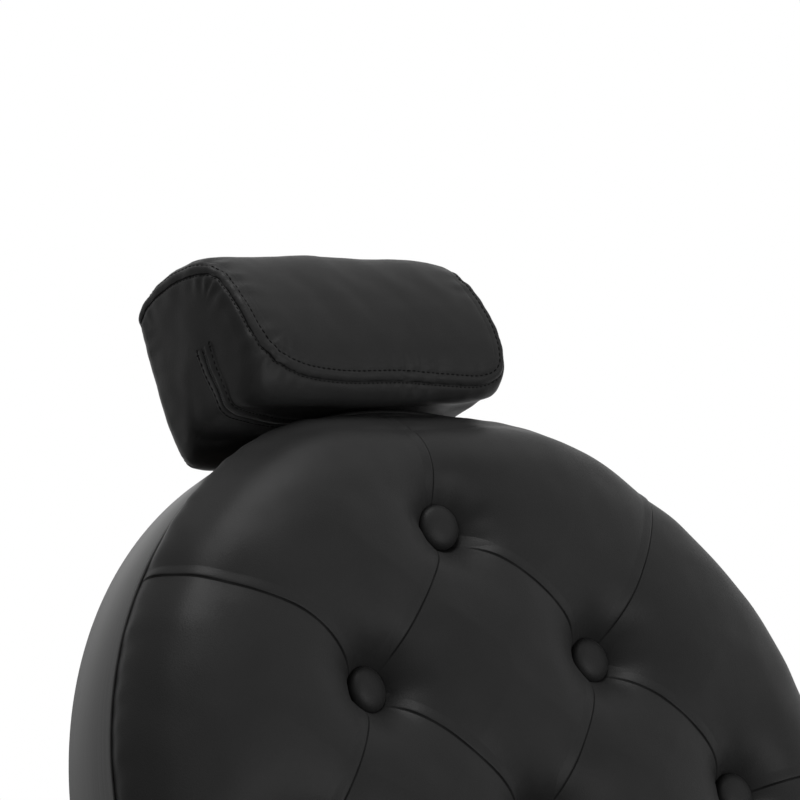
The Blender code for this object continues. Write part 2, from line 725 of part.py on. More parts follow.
def build_gas_spring():
    """Gas cylinder on its anchor pin and the rod with its slotted eye on the crank's pin."""
    gas_x = -(CRANK_X + CRANK_T + FIT + LINK_T / 2)
    anchor = (GAS_ANCHOR_Y, BRACKET_Z - GAS_ANCHOR_DROP)
    eye = (
        PIVOT_Y + GAS_CRANK_LENGTH * math.sin(GAS_CRANK_BACK),
        PIVOT_Z - GAS_CRANK_LENGTH * math.cos(GAS_CRANK_BACK),
    )
    span = math.dist(anchor, eye)
    climb = math.atan2(eye[1] - anchor[1], eye[0] - anchor[0])
    gas = axis("gas_axis", (gas_x, *anchor), (climb, 0.0, 0.0), SWIVEL)
    eye_radius = CRANK_PIN_RADIUS + 0.007
    start = eye_radius - 0.002
    body_end = 0.56 * span
    rod_start = 0.42 * span
    depth = rod_start - 0.105
    cylinder = place(
        "gas_cylinder",
        turned(
            [
                (0.0, body_end),
                (GAS_RADIUS - 0.002, body_end),
                (GAS_RADIUS, body_end - 0.002),
                (GAS_RADIUS, start + 0.012),
                (0.45 * LINK_T, start + 0.008),
                (0.45 * LINK_T, start),
                (0.0, start),
            ],
            SMALL_SEGMENTS,
        ),
        STEEL,
        gas,
        (0.0, 0.0, 0.0),
        ALONG_Y,
    )
    front_eye = place("gas_front_eye", extruded([circle((0.0, 0.0), eye_radius)], LINK_T), None, gas, (0, 0, 0), IN_YZ)
    front_hole = place(
        "gas_front_hole",
        rod(bore(CRANK_PIN_RADIUS, SMALL_SEGMENTS), 3 * LINK_T, SMALL_SEGMENTS),
        None,
        gas,
        (0.0, 0.0, 0.0),
        ALONG_X,
    )
    rod_bore = place(
        "gas_bore",
        rod(bore(GAS_ROD_RADIUS, SMALL_SEGMENTS), body_end - depth + 0.02, SMALL_SEGMENTS),
        None,
        gas,
        (0.0, (depth + body_end + 0.02) / 2, 0.0),
        ALONG_Y,
    )
    combine(cylinder, "UNION", [front_eye])
    combine(cylinder, "DIFFERENCE", [front_hole, rod_bore])

    slide = axis("gas_rod_axis", (0.0, span, 0.0), parent=gas)
    slot = bore(CRANK_PIN_RADIUS, SMALL_SEGMENTS) + 0.0006
    wall = slot + 0.005
    tail = rod_start - span
    eye_plate = extruded(
        [
            bar_outline((0.0, -GAS_SLOT), wall, (0.0, GAS_SLOT), wall),
            bar_outline((0.0, -GAS_SLOT), slot, (0.0, GAS_SLOT), slot),
        ],
        LINK_T,
    )
    plate = place("gas_rod", eye_plate, CHROME, slide, (0.0, 0.0, 0.0), IN_YZ)
    stem_end = -slot - 0.003
    neck = 0.45 * LINK_T
    neck_end = -LINK_RADIUS - 0.012
    stem_profile = [(0.0, stem_end), (neck, stem_end), (neck, neck_end), (GAS_ROD_RADIUS, neck_end - 0.002)]
    stem_profile += [(GAS_ROD_RADIUS, tail), (0.0, tail)]
    stem = place("gas_rod_stem", turned(stem_profile, SMALL_SEGMENTS), None, slide, (0.0, 0.0, 0.0), ALONG_Y)
    combine(plate, "UNION", [stem])


def crank_arm(name, x, end, parent, rotation=IN_YZ):
    """A crank's arm from its shaft to its pin, as a shape to join to the hub."""
    loop = bar_outline((0.0, 0.0), LINK_RADIUS + 0.006, end, LINK_RADIUS)
    return place(name, extruded([loop], CRANK_T), None, parent, (x, 0.0, 0.0), rotation)


def crank_pin(name, sign, end, parent):
    """The pin that stands out of a crank's arm."""
    length = LINK_T + CRANK_T / 2 + 0.004
    x = sign * (CRANK_X + CRANK_T / 2 + length / 2)
    return place(name, rod(CRANK_PIN_RADIUS, length, SMALL_SEGMENTS), None, parent, (x, *end), ALONG_X)


def build_linkage():
    """Pivot shaft, recline crank, link and legrest with its footplate."""
    shaft_half = SIDE_X + SIDE_T + FIT
    place("back_shaft", rod(SHAFT_RADIUS, 2 * shaft_half), CHROME, RECLINE, (0.0, 0.0, 0.0), ALONG_X)
    for side, sign in (("left", 1), ("right", -1)):
        cap = [(0.0, 0.009), (0.45 * CAP_RADIUS, 0.0085), (0.85 * CAP_RADIUS, 0.006), (CAP_RADIUS, 0.003)]
        cap += [(CAP_RADIUS, 0.0), (0.0, 0.0)]
        place(
            f"pivot_cap_{side}",
            turned(cap),
            CHROME,
            RECLINE,
            (sign * (shaft_half + FIT), 0.0, 0.0),
            (0.0, sign * math.pi / 2, 0.0),
        )

    upright = axis("crank_frame", (0.0, 0.0, 0.0), (RAKE, 0.0, 0.0), RECLINE)
    hub_half = CRANK_X + CRANK_T
    sleeve = [(bore(SHAFT_RADIUS), -hub_half), (SHAFT_RADIUS + 0.008, -hub_half)]
    sleeve += [(SHAFT_RADIUS + 0.008, hub_half), (bore(SHAFT_RADIUS), hub_half)]
    crank = place("recline_crank", turned(sleeve), STEEL, upright, (0.0, 0.0, 0.0), ALONG_X)
    drop = (0.0, -CRANK_LENGTH)
    gas_end = (GAS_CRANK_LENGTH * math.sin(GAS_CRANK_BACK), -GAS_CRANK_LENGTH * math.cos(GAS_CRANK_BACK))
    arm_x = CRANK_X + CRANK_T / 2
    combine(
        crank,
        "UNION",
        [
            crank_arm("link_arm", arm_x, drop, upright),
            crank_arm("gas_arm", -arm_x, gas_end, upright),
            crank_pin("link_arm_pin", 1, drop, upright),
            crank_pin("gas_arm_pin", -1, gas_end, upright),
        ],
    )
    shaft_hole = rod(bore(SHAFT_RADIUS), 3 * hub_half)
    combine(crank, "DIFFERENCE", [place("crank_bore", shaft_hole, None, upright, (0.0, 0.0, 0.0), ALONG_X)])

    rear = (PIVOT_Y, PIVOT_Z - CRANK_LENGTH)
    front = (LEGREST_Y, LEGREST_Z - CRANK_LENGTH)
    link = axis("link_axis", (CRANK_X + CRANK_T + FIT + LINK_T / 2, *rear), parent=SWIVEL)
    ahead = (front[0] - rear[0], front[1] - rear[1])
    hole = bore(CRANK_PIN_RADIUS, SMALL_SEGMENTS)
    loops = [
        bar_outline((0.0, 0.0), LINK_RADIUS, ahead, LINK_RADIUS),
        circle((0.0, 0.0), hole, SMALL_SEGMENTS),
        circle(ahead, hole + FIT, SMALL_SEGMENTS),
    ]
    place("legrest_link", extruded(loops, LINK_T), STEEL, link, (0.0, 0.0, 0.0), IN_YZ)

    place(
        "legrest_shaft",
        rod(LEGREST_SHAFT_RADIUS, 2 * (SIDE_X + SIDE_T)),
        CHROME,
        LEGREST,
        (0.0, 0.0, 0.0),
        ALONG_X,
    )
    hang = axis("legrest_crank_frame", (0.0, 0.0, 0.0), (LEGREST_LEAN, 0.0, 0.0), LEGREST)
    leg_loops = [
        bar_outline((0.0, 0.0), LEGREST_SHAFT_RADIUS + 0.008, drop, LINK_RADIUS),
        circle((0.0, 0.0), bore(LEGREST_SHAFT_RADIUS)),
    ]
    leg_crank = place("legrest_crank", extruded(leg_loops, CRANK_T), STEEL, hang, (arm_x, 0.0, 0.0), IN_YZ)
    combine(leg_crank, "UNION", [crank_pin("legrest_crank_pin", 1, drop, hang)])

    foot_pin = CRANK_PIN_RADIUS
    for side, sign in (("left", 1), ("right", -1)):
        bar = [
            bar_outline((0.0, 0.0), LEGREST_BAR_RADIUS, (0.0, -LEGREST_LENGTH), LEGREST_BAR_RADIUS),
            circle((0.0, 0.0), bore(LEGREST_SHAFT_RADIUS)),
            circle((0.0, -LEGREST_LENGTH), bore(foot_pin, SMALL_SEGMENTS), SMALL_SEGMENTS),
        ]
        place(
            f"legrest_arm_{side}",
            extruded(bar, LEGREST_BAR_T),
            BRUSHED,
            LEGREST,
            (sign * LEGREST_BAR_X, 0.0, 0.0),
            IN_YZ,
        )
    steps = [(-0.008, 0.0), (0.0, 0.008), (0.0, 0.5 * CALF_T), (-0.005, 0.74 * CALF_T), (-0.016, 0.88 * CALF_T)]
    rings = pad_rings(CALF_HALF_WIDTH, CALF_HALF_HEIGHT, 5.0, 32, steps, 0.12 * CALF_T)
    calf_z = -(LEGREST_SHAFT_RADIUS + 0.018 + CALF_HALF_HEIGHT)
    place(
        "calf_pad",
        lofted(rings),
        BLACK_VINYL,
        LEGREST,
        (0.0, -(LEGREST_BAR_RADIUS + FIT), calf_z),
        (math.pi / 2, 0.0, 0.0),
    )

    boss = foot_pin + 0.006
    top = boss - 0.002
    profile = arc((0.0, 0.0), boss, math.radians(-110.0), math.radians(55.0), ARC_STEPS)
    pitch = (FOOT_DEPTH - 0.030) / FOOT_RIBS
    for i in range(FOOT_RIBS):
        y = -(boss + 0.008 + pitch * i)
        profile += [(y, top), (y - 0.15 * pitch, top + FOOT_RIB), (y - 0.55 * pitch, top + FOOT_RIB), (y - 0.7 * pitch, top)]
    profile += [(-FOOT_DEPTH + 0.006, top + 0.004), (-FOOT_DEPTH, top + 0.012), (-FOOT_DEPTH - 0.006, top + 0.010)]
    profile += [(-FOOT_DEPTH - 0.004, top - FOOT_T + 0.004), (-FOOT_DEPTH + 0.006, top - FOOT_T)]
    half = LEGREST_BAR_X - LEGREST_BAR_T / 2 - 0.001
    foot = place("footplate", extruded([profile], 2 * half), CAST, FOOT, (0.0, 0.0, 0.0), IN_YZ)
    pins = rod(foot_pin, 2 * (LEGREST_BAR_X + LEGREST_BAR_T / 2), SMALL_SEGMENTS)
    combine(foot, "UNION", [place("foot_pins", pins, None, FOOT, (0.0, 0.0, 0.0), ALONG_X)])


def button_places():
    """Buttons in a diamond lattice, as (x, z) from the back's centre."""
    places = []
    for row in range(5):
        z = BUTTON_TOP - row * BUTTON_PITCH_Z
        if row % 2:
            places += [(-BUTTON_PITCH_X / 2, z), (BUTTON_PITCH_X / 2, z)]
        elif row == 2:
            places += [(-BUTTON_PITCH_X, z), (0.0, z), (BUTTON_PITCH_X, z)]
        else:
            places.append((0.0, z))
    return places


def distance_to_run(point, start, end):
    """Distance from a point to a straight run."""
    run = (end[0] - start[0], end[1] - start[1])
    share = (point[0] - start[0]) * run[0] + (point[1] - start[1]) * run[1]
    share = min(1.0, max(0.0, share / (run[0] ** 2 + run[1] ** 2)))
    return math.dist(point, (start[0] + share * run[0], start[1] + share * run[1]))


def cushion_height(x, z, buttons, pleats, reach):
    """Height of the tufted face above the back's face plane."""
    share = min(1.0, math.hypot(x, z) / reach)
    face = CUSHION_CROWN - (CUSHION_CROWN - CUSHION_SHOULDER) * share**6
    pit = max(math.exp(-((math.dist((x, z), spot) / PIT_WIDTH) ** 2)) for spot in buttons)
    fold = max(math.exp(-((distance_to_run((x, z), a, b) / PLEAT_WIDTH) ** 2)) for a, b in pleats)
    fade = 1.0 - 0.7 * share**4
    return face - max(PIT_DEPTH * pit, PLEAT_DEPTH * fold * fade)


def build_cushion():
    """The tufted back cushion, its recesses and its covered buttons."""
    buttons = button_places()
    limit = 1.05 * math.hypot(BUTTON_PITCH_X / 2, BUTTON_PITCH_Z)
    pleats = [(a, b) for i, a in enumerate(buttons) for b in buttons[:i] if math.dist(a, b) < limit]
    inner = (BACK_RADIUS - BAND_T) * math.cos(math.pi / RIM_SEGMENTS) - FIT
    reach = BACK_RADIUS - CUSHION_INSET
    for spot in buttons:
        away = math.hypot(*spot)
        if away > 0.55 * BACK_RADIUS:
            pleats.append((spot, (spot[0] / away * reach, spot[1] / away * reach)))
    cells = CUSHION_CELLS
    bm = bmesh.new()
    grid = []
    for i in range(cells + 1):
        row = []
        for j in range(cells + 1):
            a, b = 2.0 * i / cells - 1.0, 2.0 * j / cells - 1.0
            x = reach * a * math.sqrt(1.0 - b * b / 2)
            z = reach * b * math.sqrt(1.0 - a * a / 2)
            row.append(bm.verts.new((x, -cushion_height(x, z, buttons, pleats, reach), z)))
        grid.append(row)
    for i in range(cells):
        for j in range(cells):
            bm.faces.new((grid[i][j], grid[i + 1][j], grid[i + 1][j + 1], grid[i][j + 1]))
    border = [grid[i][0] for i in range(cells)] + [grid[cells][j] for j in range(cells)]
    border += [grid[i][cells] for i in range(cells, 0, -1)] + [grid[0][j] for j in range(cells, 0, -1)]
    base_y = BOARD_Y - FIT
    side = [
        (BACK_RADIUS - 0.0065, -0.65 * CUSHION_SHOULDER),
        (BACK_RADIUS - 0.0015, -0.30 * CUSHION_SHOULDER),
        (BACK_RADIUS - 0.0020, -BAND_LIP - 4.0 * FIT),
        (inner, -BAND_LIP - FIT),
        (inner, base_y),
    ]
    below = border
    for radius, y in side:
        ring = []
        for vert in border:
            scale = radius / math.hypot(vert.co.x, vert.co.z)
            ring.append(bm.verts.new((vert.co.x * scale, y, vert.co.z * scale)))
        for k in range(len(ring)):
            bm.faces.new((below[k - 1], below[k], ring[k], ring[k - 1]))
        below = ring
    bm.faces.new(below)
    centre = (0.0, 0.0, BACK_RISE)
    cushion = place("back_cushion", bm, BLACK_VINYL, RECLINE, centre)

    for number, (x, z) in enumerate(buttons, start=1):
        recess = place(
            f"button_recess_{number}",
            rod(BUTTON_RADIUS + 0.0010, 0.06, 12),
            None,
            RECLINE,
            (x, -BUTTON_SEAT - 0.03, BACK_RISE + z),
            ALONG_Y,
        )
        combine(cushion, "DIFFERENCE", [recess])
        dome = [
            (0.0, BUTTON_HEIGHT),
            (0.55 * BUTTON_RADIUS, 0.84 * BUTTON_HEIGHT),
            (0.9 * BUTTON_RADIUS, 0.5 * BUTTON_HEIGHT),
            (BUTTON_RADIUS, 0.2 * BUTTON_HEIGHT),
            (0.9 * BUTTON_RADIUS, 0.0),
            (0.0, 0.0),
        ]
        place(
            f"back_button_{number}",
            turned(dome, 12),
            BLACK_VINYL,
            RECLINE,
            (x, -BUTTON_SEAT - FIT, BACK_RISE + z),
            (math.pi / 2, 0.0, 0.0),
        )


def build_back():
    """Rim band, board, rear panel, straps and the headrest's guide and clamp knob."""
    centre = (0.0, 0.0, BACK_RISE)
    inner = BACK_RADIUS - BAND_T
    front, rear = -BAND_LIP, BAND_DEPTH - BAND_LIP
    ring = [(inner, front), (BACK_RADIUS - 0.001, front), (BACK_RADIUS, front + 0.001)]
    ring += [(BACK_RADIUS, rear - 0.001), (BACK_RADIUS - 0.001, rear), (inner, rear)]
    place("back_band", turned(ring, RIM_SEGMENTS), BRUSHED, RECLINE, centre, ALONG_Y)
    board = [(0.0, BOARD_Y), (inner - FIT, BOARD_Y), (inner - FIT, rear), (0.0, rear)]
    place("back_board", turned(board, RIM_SEGMENTS), WOOD, RECLINE, centre, ALONG_Y)
    panel_radius = BACK_RADIUS - PANEL_MARGIN
    panel = [(0.0, PANEL_Y), (panel_radius - 0.002, PANEL_Y)]
    panel += arc((panel_radius - 0.012, PANEL_REAR - 0.012), 0.012, 0.0, math.pi / 2, 4) + [(0.0, PANEL_REAR)]
    place("rear_panel", turned(panel, BASE_SEGMENTS), BLACK_VINYL, RECLINE, centre, ALONG_Y)

    boss = SHAFT_RADIUS + STRAP_BOSS_WALL
    strap_y = PANEL_REAR + FIT + STRAP_T / 2
    bend = (strap_y, BACK_GAP + 0.008)
    top = BACK_RISE - 0.030
    half = STRAP_T / 2
    heading = math.atan2(bend[1], bend[0])
    swing = math.acos((boss - half) / math.hypot(*bend))
    outline = arc((0.0, 0.0), boss, heading + swing, heading + math.tau - swing, 2 * ARC_STEPS)
    outline += [(bend[0] + half, bend[1] - 0.006), (bend[0] + half, top), (bend[0] - half, top)]
    outline += [(bend[0] - half, bend[1] + 0.006)]
    loops = [outline, circle((0.0, 0.0), bore(SHAFT_RADIUS))]
    for side, sign in (("left", 1), ("right", -1)):
        x = sign * STRAP_X
        place(f"back_strap_{side}", extruded(loops, STRAP_WIDTH), STEEL, RECLINE, (x, 0.0, 0.0), IN_YZ)

    guide_front = PANEL_REAR + FIT
    guide_rear = BAR_SETBACK + BAR_T / 2 + GUIDE_WALL
    guide_mid = (0.0, (guide_front + guide_rear) / 2, BACK_RISE + GUIDE_TOP - GUIDE_LENGTH / 2)
    guide = place(
        "headrest_guide",
        block((BAR_WIDTH + 2 * GUIDE_WALL, guide_rear - guide_front, GUIDE_LENGTH)),
        CAST,
        RECLINE,
        guide_mid,
    )
    slot_size = (BAR_WIDTH + 2 * FIT, BAR_T + 2 * FIT, 2 * GUIDE_LENGTH)
    slot = place("guide_slot", block(slot_size), None, RECLINE, (0.0, BAR_SETBACK, guide_mid[2]))
    stem_hole = place(
        "guide_screw_hole",
        rod(bore(KNOB_STEM, SMALL_SEGMENTS), 2 * GUIDE_WALL, SMALL_SEGMENTS),
        None,
        RECLINE,
        (0.0, BAR_SETBACK + GUIDE_WALL, guide_mid[2]),
        ALONG_Y,
    )
    combine(guide, "DIFFERENCE", [slot, stem_hole])

    knob_frame = axis("knob_axis", (0.0, guide_rear, guide_mid[2]), parent=RECLINE)
    turns = [math.tau * i / 40 for i in range(40)]
    lobes = [KNOB_RADIUS * (0.9 + 0.1 * math.cos(KNOB_LOBES * a)) for a in turns]
    star = [(r * math.cos(a), r * math.sin(a)) for r, a in zip(lobes, turns)]
    stand = 0.010
    knob = place(
        "clamp_knob", extruded([star], KNOB_T), PLASTIC, knob_frame, (0.0, stand + KNOB_T / 2, 0.0), ALONG_Y
    )
    stem_length = GUIDE_WALL + stand + 0.004
    stem = place(
        "knob_stem",
        rod(KNOB_STEM, stem_length, SMALL_SEGMENTS),
        None,
        knob_frame,
        (0.0, stand + 0.004 - stem_length / 2, 0.0),
        ALONG_Y,
    )
    combine(knob, "UNION", [stem])


def build_headrest():
    """Flat bar in its guide, tilt plate on a pin, and the boxed pad."""
    rim = TILT_Z - BACK_RISE - BACK_RADIUS
    bar_top = TILT_Z - BACK_RISE - KNUCKLE_RADIUS - 0.004
    bar_low = bar_top - BAR_LENGTH
    bar_mid = (0.0, 0.0, (bar_top + bar_low) / 2)
    bar = place("headrest_bar", block((BAR_WIDTH, BAR_T, BAR_LENGTH)), CHROME, HEAD_SLIDE, bar_mid)
    neck_loop = bar_outline((0.0, bar_top - 0.010), BAR_T / 2, (0.0, TILT_Z - BACK_RISE), KNUCKLE_RADIUS)
    neck = place("bar_knuckle", extruded([neck_loop], KNUCKLE_WIDTH), None, HEAD_SLIDE, (0.0, 0.0, 0.0), IN_YZ)
    pin_hole = bore(TILT_PIN_RADIUS, SMALL_SEGMENTS)
    combine(bar, "UNION", [neck])
    drill = place(
        "bar_pin_hole",
        rod(pin_hole, 3 * KNUCKLE_WIDTH, SMALL_SEGMENTS),
        None,
        HEAD_SLIDE,
        (0.0, 0.0, TILT_Z - BACK_RISE),
        ALONG_X,
    )
    combine(bar, "DIFFERENCE", [drill])

    pad_rear = BAR_SETBACK - HEAD_REAR
    plate_y = -(pad_rear - FIT - PLATE_T / 2)
    plate_low, plate_high = 0.004, 0.70 * HEAD_TOP
    plate = place(
        "headrest_plate",
        block((0.100, PLATE_T, plate_high - plate_low)),
        STEEL,
        HEAD_TILT,
        (0.0, plate_y, (plate_low + plate_high) / 2),
    )
    ear_width = 0.012
    ear_x = KNUCKLE_WIDTH / 2 + FIT + ear_width / 2
    ear_loop = bar_outline((0.0, 0.0), KNUCKLE_RADIUS, (plate_y, 0.018), PLATE_T / 2 - 0.0001)
    ears = [
        place(f"plate_ear_{side}", extruded([ear_loop], ear_width), None, HEAD_TILT, (sign * ear_x, 0.0, 0.0), IN_YZ)
        for side, sign in (("left", 1), ("right", -1))
    ]
    combine(plate, "UNION", ears)
    plate_drill = place(
        "plate_pin_hole", rod(pin_hole, 6 * KNUCKLE_WIDTH, SMALL_SEGMENTS), None, HEAD_TILT, (0, 0, 0), ALONG_X
    )
    notch = place(
        "plate_notch",
        block((KNUCKLE_WIDTH + 2 * FIT, 0.040, 0.024)),
        None,
        HEAD_TILT,
        (0.0, 0.0, 0.0),
    )
    combine(plate, "DIFFERENCE", [plate_drill, notch])
    pin_length = KNUCKLE_WIDTH + 2 * ear_width + 0.008
    place("tilt_pin", rod(TILT_PIN_RADIUS, pin_length, SMALL_SEGMENTS), CHROME, HEAD_TILT, (0, 0, 0), ALONG_X)

    front = -(BAR_SETBACK + HEAD_FRONT)
    rear = -pad_rear
    over = -(BAR_SETBACK - BAND_DEPTH + BAND_LIP)
    low = HEAD_LIFT - rim
    high = HEAD_TOP - rim
    drop = -HEAD_OVERHANG - rim
    section = spline(
        [
            (front + 0.022, low + 0.001),
            (front + 0.004, low + 0.014),
            (front, low + 0.036),
            (front + 0.008, low + 0.068),
            (front + 0.030, high - 0.008),
            (front + 0.058, high),
            (rear - 0.018, high - 0.002),
            (rear - 0.003, high - 0.014),
            (rear, high - 0.036),
            (rear, 0.5 * (low + high) - 0.012),
            (rear, low + 0.012),
            (rear - 0.004, drop + 0.006),
            (rear - 0.013, drop),
            (over + 0.0055, drop + 0.008),
            (over + 0.0015, low - 0.001),
            (over - 0.016, low),
            (over - 0.036, low),
        ],
        2,
        closed=True,
    )
    centre = ((front + rear) / 2, (low + high) / 2)
    stations = [(1.05, 0.0), (1.045, 0.55), (1.015, 0.90), (0.97, 0.975), (0.86, 1.0), (0.50, 0.995), (0.0, 0.985)]
    spans = [(-share, size) for share, size in stations] + [(share, size) for share, size in reversed(stations[:-1])]
    rings = []
    for share, size in spans:
        x = HEAD_HALF_WIDTH * share
        if size == 0.0:
            rings.append([(x, *centre)])
            continue
        rings.append([(x, centre[0] + (y - centre[0]) * size, centre[1] + (z - centre[1]) * size) for y, z in section])
    place("headrest_pad", lofted(rings), BLACK_VINYL, HEAD_TILT)


def build_lever():
    """The hand lever that frees the gas spring."""
    outer = -(SIDE_T + LEVER_STANDOFF + LEVER_T / 2)
    climb = math.radians(10.0)
    end = (-LEVER_LENGTH * math.cos(climb), LEVER_LENGTH * math.sin(climb))
    arm = place(
        "recline_lever",
        extruded([bar_outline((0.0, 0.0), 0.015, end, 0.009)], LEVER_T),
        CHROME,
        LEVER,
        (outer, 0.0, 0.0),
        IN_YZ,
    )
    collar_length = LEVER_STANDOFF - FIT + 0.001
    collar_x = -(SIDE_T + FIT + collar_length / 2)
    collar = place("lever_collar", rod(0.011, collar_length, SMALL_SEGMENTS), None, LEVER, (collar_x, 0, 0), ALONG_X)
    stub_length = SIDE_T + LEVER_STANDOFF + LEVER_T / 2 + 0.004
    stub = place(
        "lever_stub",
        rod(LEVER_STUB_RADIUS, stub_length, SMALL_SEGMENTS),
        None,
        LEVER,
        (outer + stub_length / 2, 0.0, 0.0),
        ALONG_X,
    )
    run = (-math.cos(climb), math.sin(climb))
    rod_mid = (end[0] + run[0] * (LEVER_ROD / 2 - 0.004), end[1] + run[1] * (LEVER_ROD / 2 - 0.004))
    turn = (math.pi / 2 - climb, 0.0, 0.0)
    hand_rod = place(
        "lever_rod", rod(LEVER_ROD_RADIUS, LEVER_ROD + 0.008, SMALL_SEGMENTS), None, LEVER, (outer, *rod_mid), turn
    )
    combine(arm, "UNION", [collar, stub, hand_rod])

    grip_start = 0.012
    grip_end = LEVER_ROD + 0.006
    inner = bore(LEVER_ROD_RADIUS, SMALL_SEGMENTS)
    hollow_end = LEVER_ROD + 0.0015
    grip = [
        (0.0, grip_end),
        (0.6 * GRIP_RADIUS, grip_end - 0.001),
        (GRIP_RADIUS, grip_end - 0.009),
        (0.85 * GRIP_RADIUS, 0.45 * grip_end),
        (GRIP_RADIUS, grip_start + 0.006),
        (0.8 * GRIP_RADIUS, grip_start),
        (inner, grip_start),
        (inner, hollow_end),
        (0.0, hollow_end),
    ]
    place("lever_grip", turned(grip, SMALL_SEGMENTS), PLASTIC, LEVER, (outer, *end), turn)


build_base()
build_ram()
build_seat()
build_gas_spring()
build_linkage()
build_back()
build_cushion()
build_headrest()
build_lever()
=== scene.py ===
"""Looks of a reclining barber chair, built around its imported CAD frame."""

import json
import logging
import math
from dataclasses import dataclass, field
from enum import Enum
from typing import Any, Iterable, Optional, Sequence

import bmesh
import bpy
import numpy as np
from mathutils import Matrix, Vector
from mathutils.bvhtree import BVHTree
from mathutils.kdtree import KDTree


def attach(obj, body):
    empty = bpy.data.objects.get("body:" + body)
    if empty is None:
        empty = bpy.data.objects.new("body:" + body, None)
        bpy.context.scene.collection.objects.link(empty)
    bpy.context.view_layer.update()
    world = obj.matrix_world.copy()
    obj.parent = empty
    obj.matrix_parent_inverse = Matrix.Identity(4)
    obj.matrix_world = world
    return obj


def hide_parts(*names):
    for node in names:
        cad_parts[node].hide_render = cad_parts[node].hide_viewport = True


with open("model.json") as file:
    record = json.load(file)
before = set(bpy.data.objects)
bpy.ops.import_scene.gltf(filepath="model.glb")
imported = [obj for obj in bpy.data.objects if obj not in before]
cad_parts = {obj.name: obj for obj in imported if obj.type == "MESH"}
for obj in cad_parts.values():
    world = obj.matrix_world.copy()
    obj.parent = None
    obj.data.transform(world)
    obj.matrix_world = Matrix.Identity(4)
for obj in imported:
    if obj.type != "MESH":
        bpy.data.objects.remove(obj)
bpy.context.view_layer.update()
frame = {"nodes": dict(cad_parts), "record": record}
LOG = logging.getLogger("barber_chair")

# Frame of the back: its centre, and the directions across, up along and out of its face.
BACK_CENTRE = np.array((0.0, 0.419662, 0.756102))
BACK_ACROSS = np.array((1.0, 0.0, 0.0))
BACK_UP = np.array((0.0, 0.4383711, 0.8987940))
BACK_OUT = np.array((0.0, -0.8987940, 0.4383711))

# Frame of the legrest: its pivot, and the directions down along and out of its pad.
LEG_PIVOT = np.array((0.0, -0.270, 0.384))
LEG_LEAN = math.radians(25.0)
LEG_DOWN = np.array((0.0, -math.sin(LEG_LEAN), -math.cos(LEG_LEAN)))
LEG_OUT = np.array((0.0, -math.cos(LEG_LEAN), math.sin(LEG_LEAN)))


class Slot(Enum):
    """Material slots of the record."""

    LEATHERETTE = "black_leatherette"
    RIM = "brushed_rim"
    CHROME = "chrome"
    STEEL = "black_steel"
    ALUMINIUM = "cast_aluminium"
    RUBBER = "rubber"
    PLYWOOD = "plywood"
    BRONZE = "bronze"
    PLASTIC = "black_plastic"


class Body(Enum):
    """CAD bodies that pieces ride on."""

    BASE = "base"
    PEDAL = "pedal"
    LIFT = "lift"
    SEAT = "seat"
    BACK = "back"
    HEADREST = "headrest"
    LEGREST = "legrest"
    FOOT = "foot"


class Graph:
    """Short way to add and wire nodes in one node tree."""

    def __init__(self, tree: bpy.types.NodeTree) -> None:
        """Keeps the tree.

        Args:
            tree: node tree that the calls add to.
        """
        self.tree = tree

    def add(self, kind: str, inputs: Optional[dict] = None, **settings: Any) -> bpy.types.Node:
        """Adds one node.

        Args:
            kind: Blender's name of the node type.
            inputs: values or sockets for its inputs, by name or number.
            settings: properties of the node.

        Returns:
            The new node.
        """
        made = self.tree.nodes.new(kind)
        for key, value in settings.items():
            setattr(made, key, value)
        for key, value in (inputs or {}).items():
            socket = made.inputs[key]
            if isinstance(value, bpy.types.NodeSocket):
                self.tree.links.new(value, socket)
            else:
                socket.default_value = value
        return made

    def math(self, kind: str, first: Any, second: Any = 0.0) -> bpy.types.NodeSocket:
        """Adds a Math node and returns its output."""
        return self.add("ShaderNodeMath", {0: first, 1: second}, operation=kind).outputs[0]

    def range(self, value: Any, low: float, high: float) -> bpy.types.NodeSocket:
        """Maps a value from 0..1 to low..high and returns the output."""
        return self.add("ShaderNodeMapRange", {0: value, 3: low, 4: high}).outputs[0]

    def blend(self, factor: Any, first: Any, second: Any) -> bpy.types.NodeSocket:
        """Mixes two colours by a factor and returns the output."""
        node = self.add("ShaderNodeMix", {0: factor, 6: first, 7: second}, data_type="RGBA")
        return node.outputs[2]


def grey(level: float) -> tuple[float, float, float, float]:
    """Returns a neutral colour of that level."""
    return (level, level, level, 1.0)


@dataclass(frozen=True)
class Finish:
    """One finish: a procedural material on Object coordinates."""

    name: str
    slot: Slot
    rough: float = 0.4

    def material(self) -> bpy.types.Material:
        """Returns the finish's material, made on first use."""
        found = bpy.data.materials.get(self.name)
        if found:
            return found
        made = bpy.data.materials.new(self.name)
        made.use_nodes = True
        graph = Graph(made.node_tree)
        shader = next(n for n in made.node_tree.nodes if n.type == "BSDF_PRINCIPLED")
        self.paint(graph, shader)
        return made

    def paint(self, graph: Graph, shader: bpy.types.Node) -> None:
        """Wires the finish's nodes into the shader.

        Args:
            graph: node tree of the material.
            shader: its Principled shader.
        """
        raise NotImplementedError

    def noise(self, graph: Graph, vector: Any, scale: float, detail: float = 2.0) -> bpy.types.NodeSocket:
        """Adds a noise texture and returns its factor."""
        inputs = {"Vector": vector, "Scale": scale, "Detail": detail}
        return graph.add("ShaderNodeTexNoise", inputs).outputs[0]

    def bump(self, graph: Graph, shader: bpy.types.Node, height: Any, depth: float, strength: float = 1.0) -> None:
        """Sends a height through a Bump node to the shader's normal."""
        node = graph.add("ShaderNodeBump", {"Height": height, "Distance": depth, "Strength": strength})
        graph.tree.links.new(node.outputs[0], shader.inputs["Normal"])


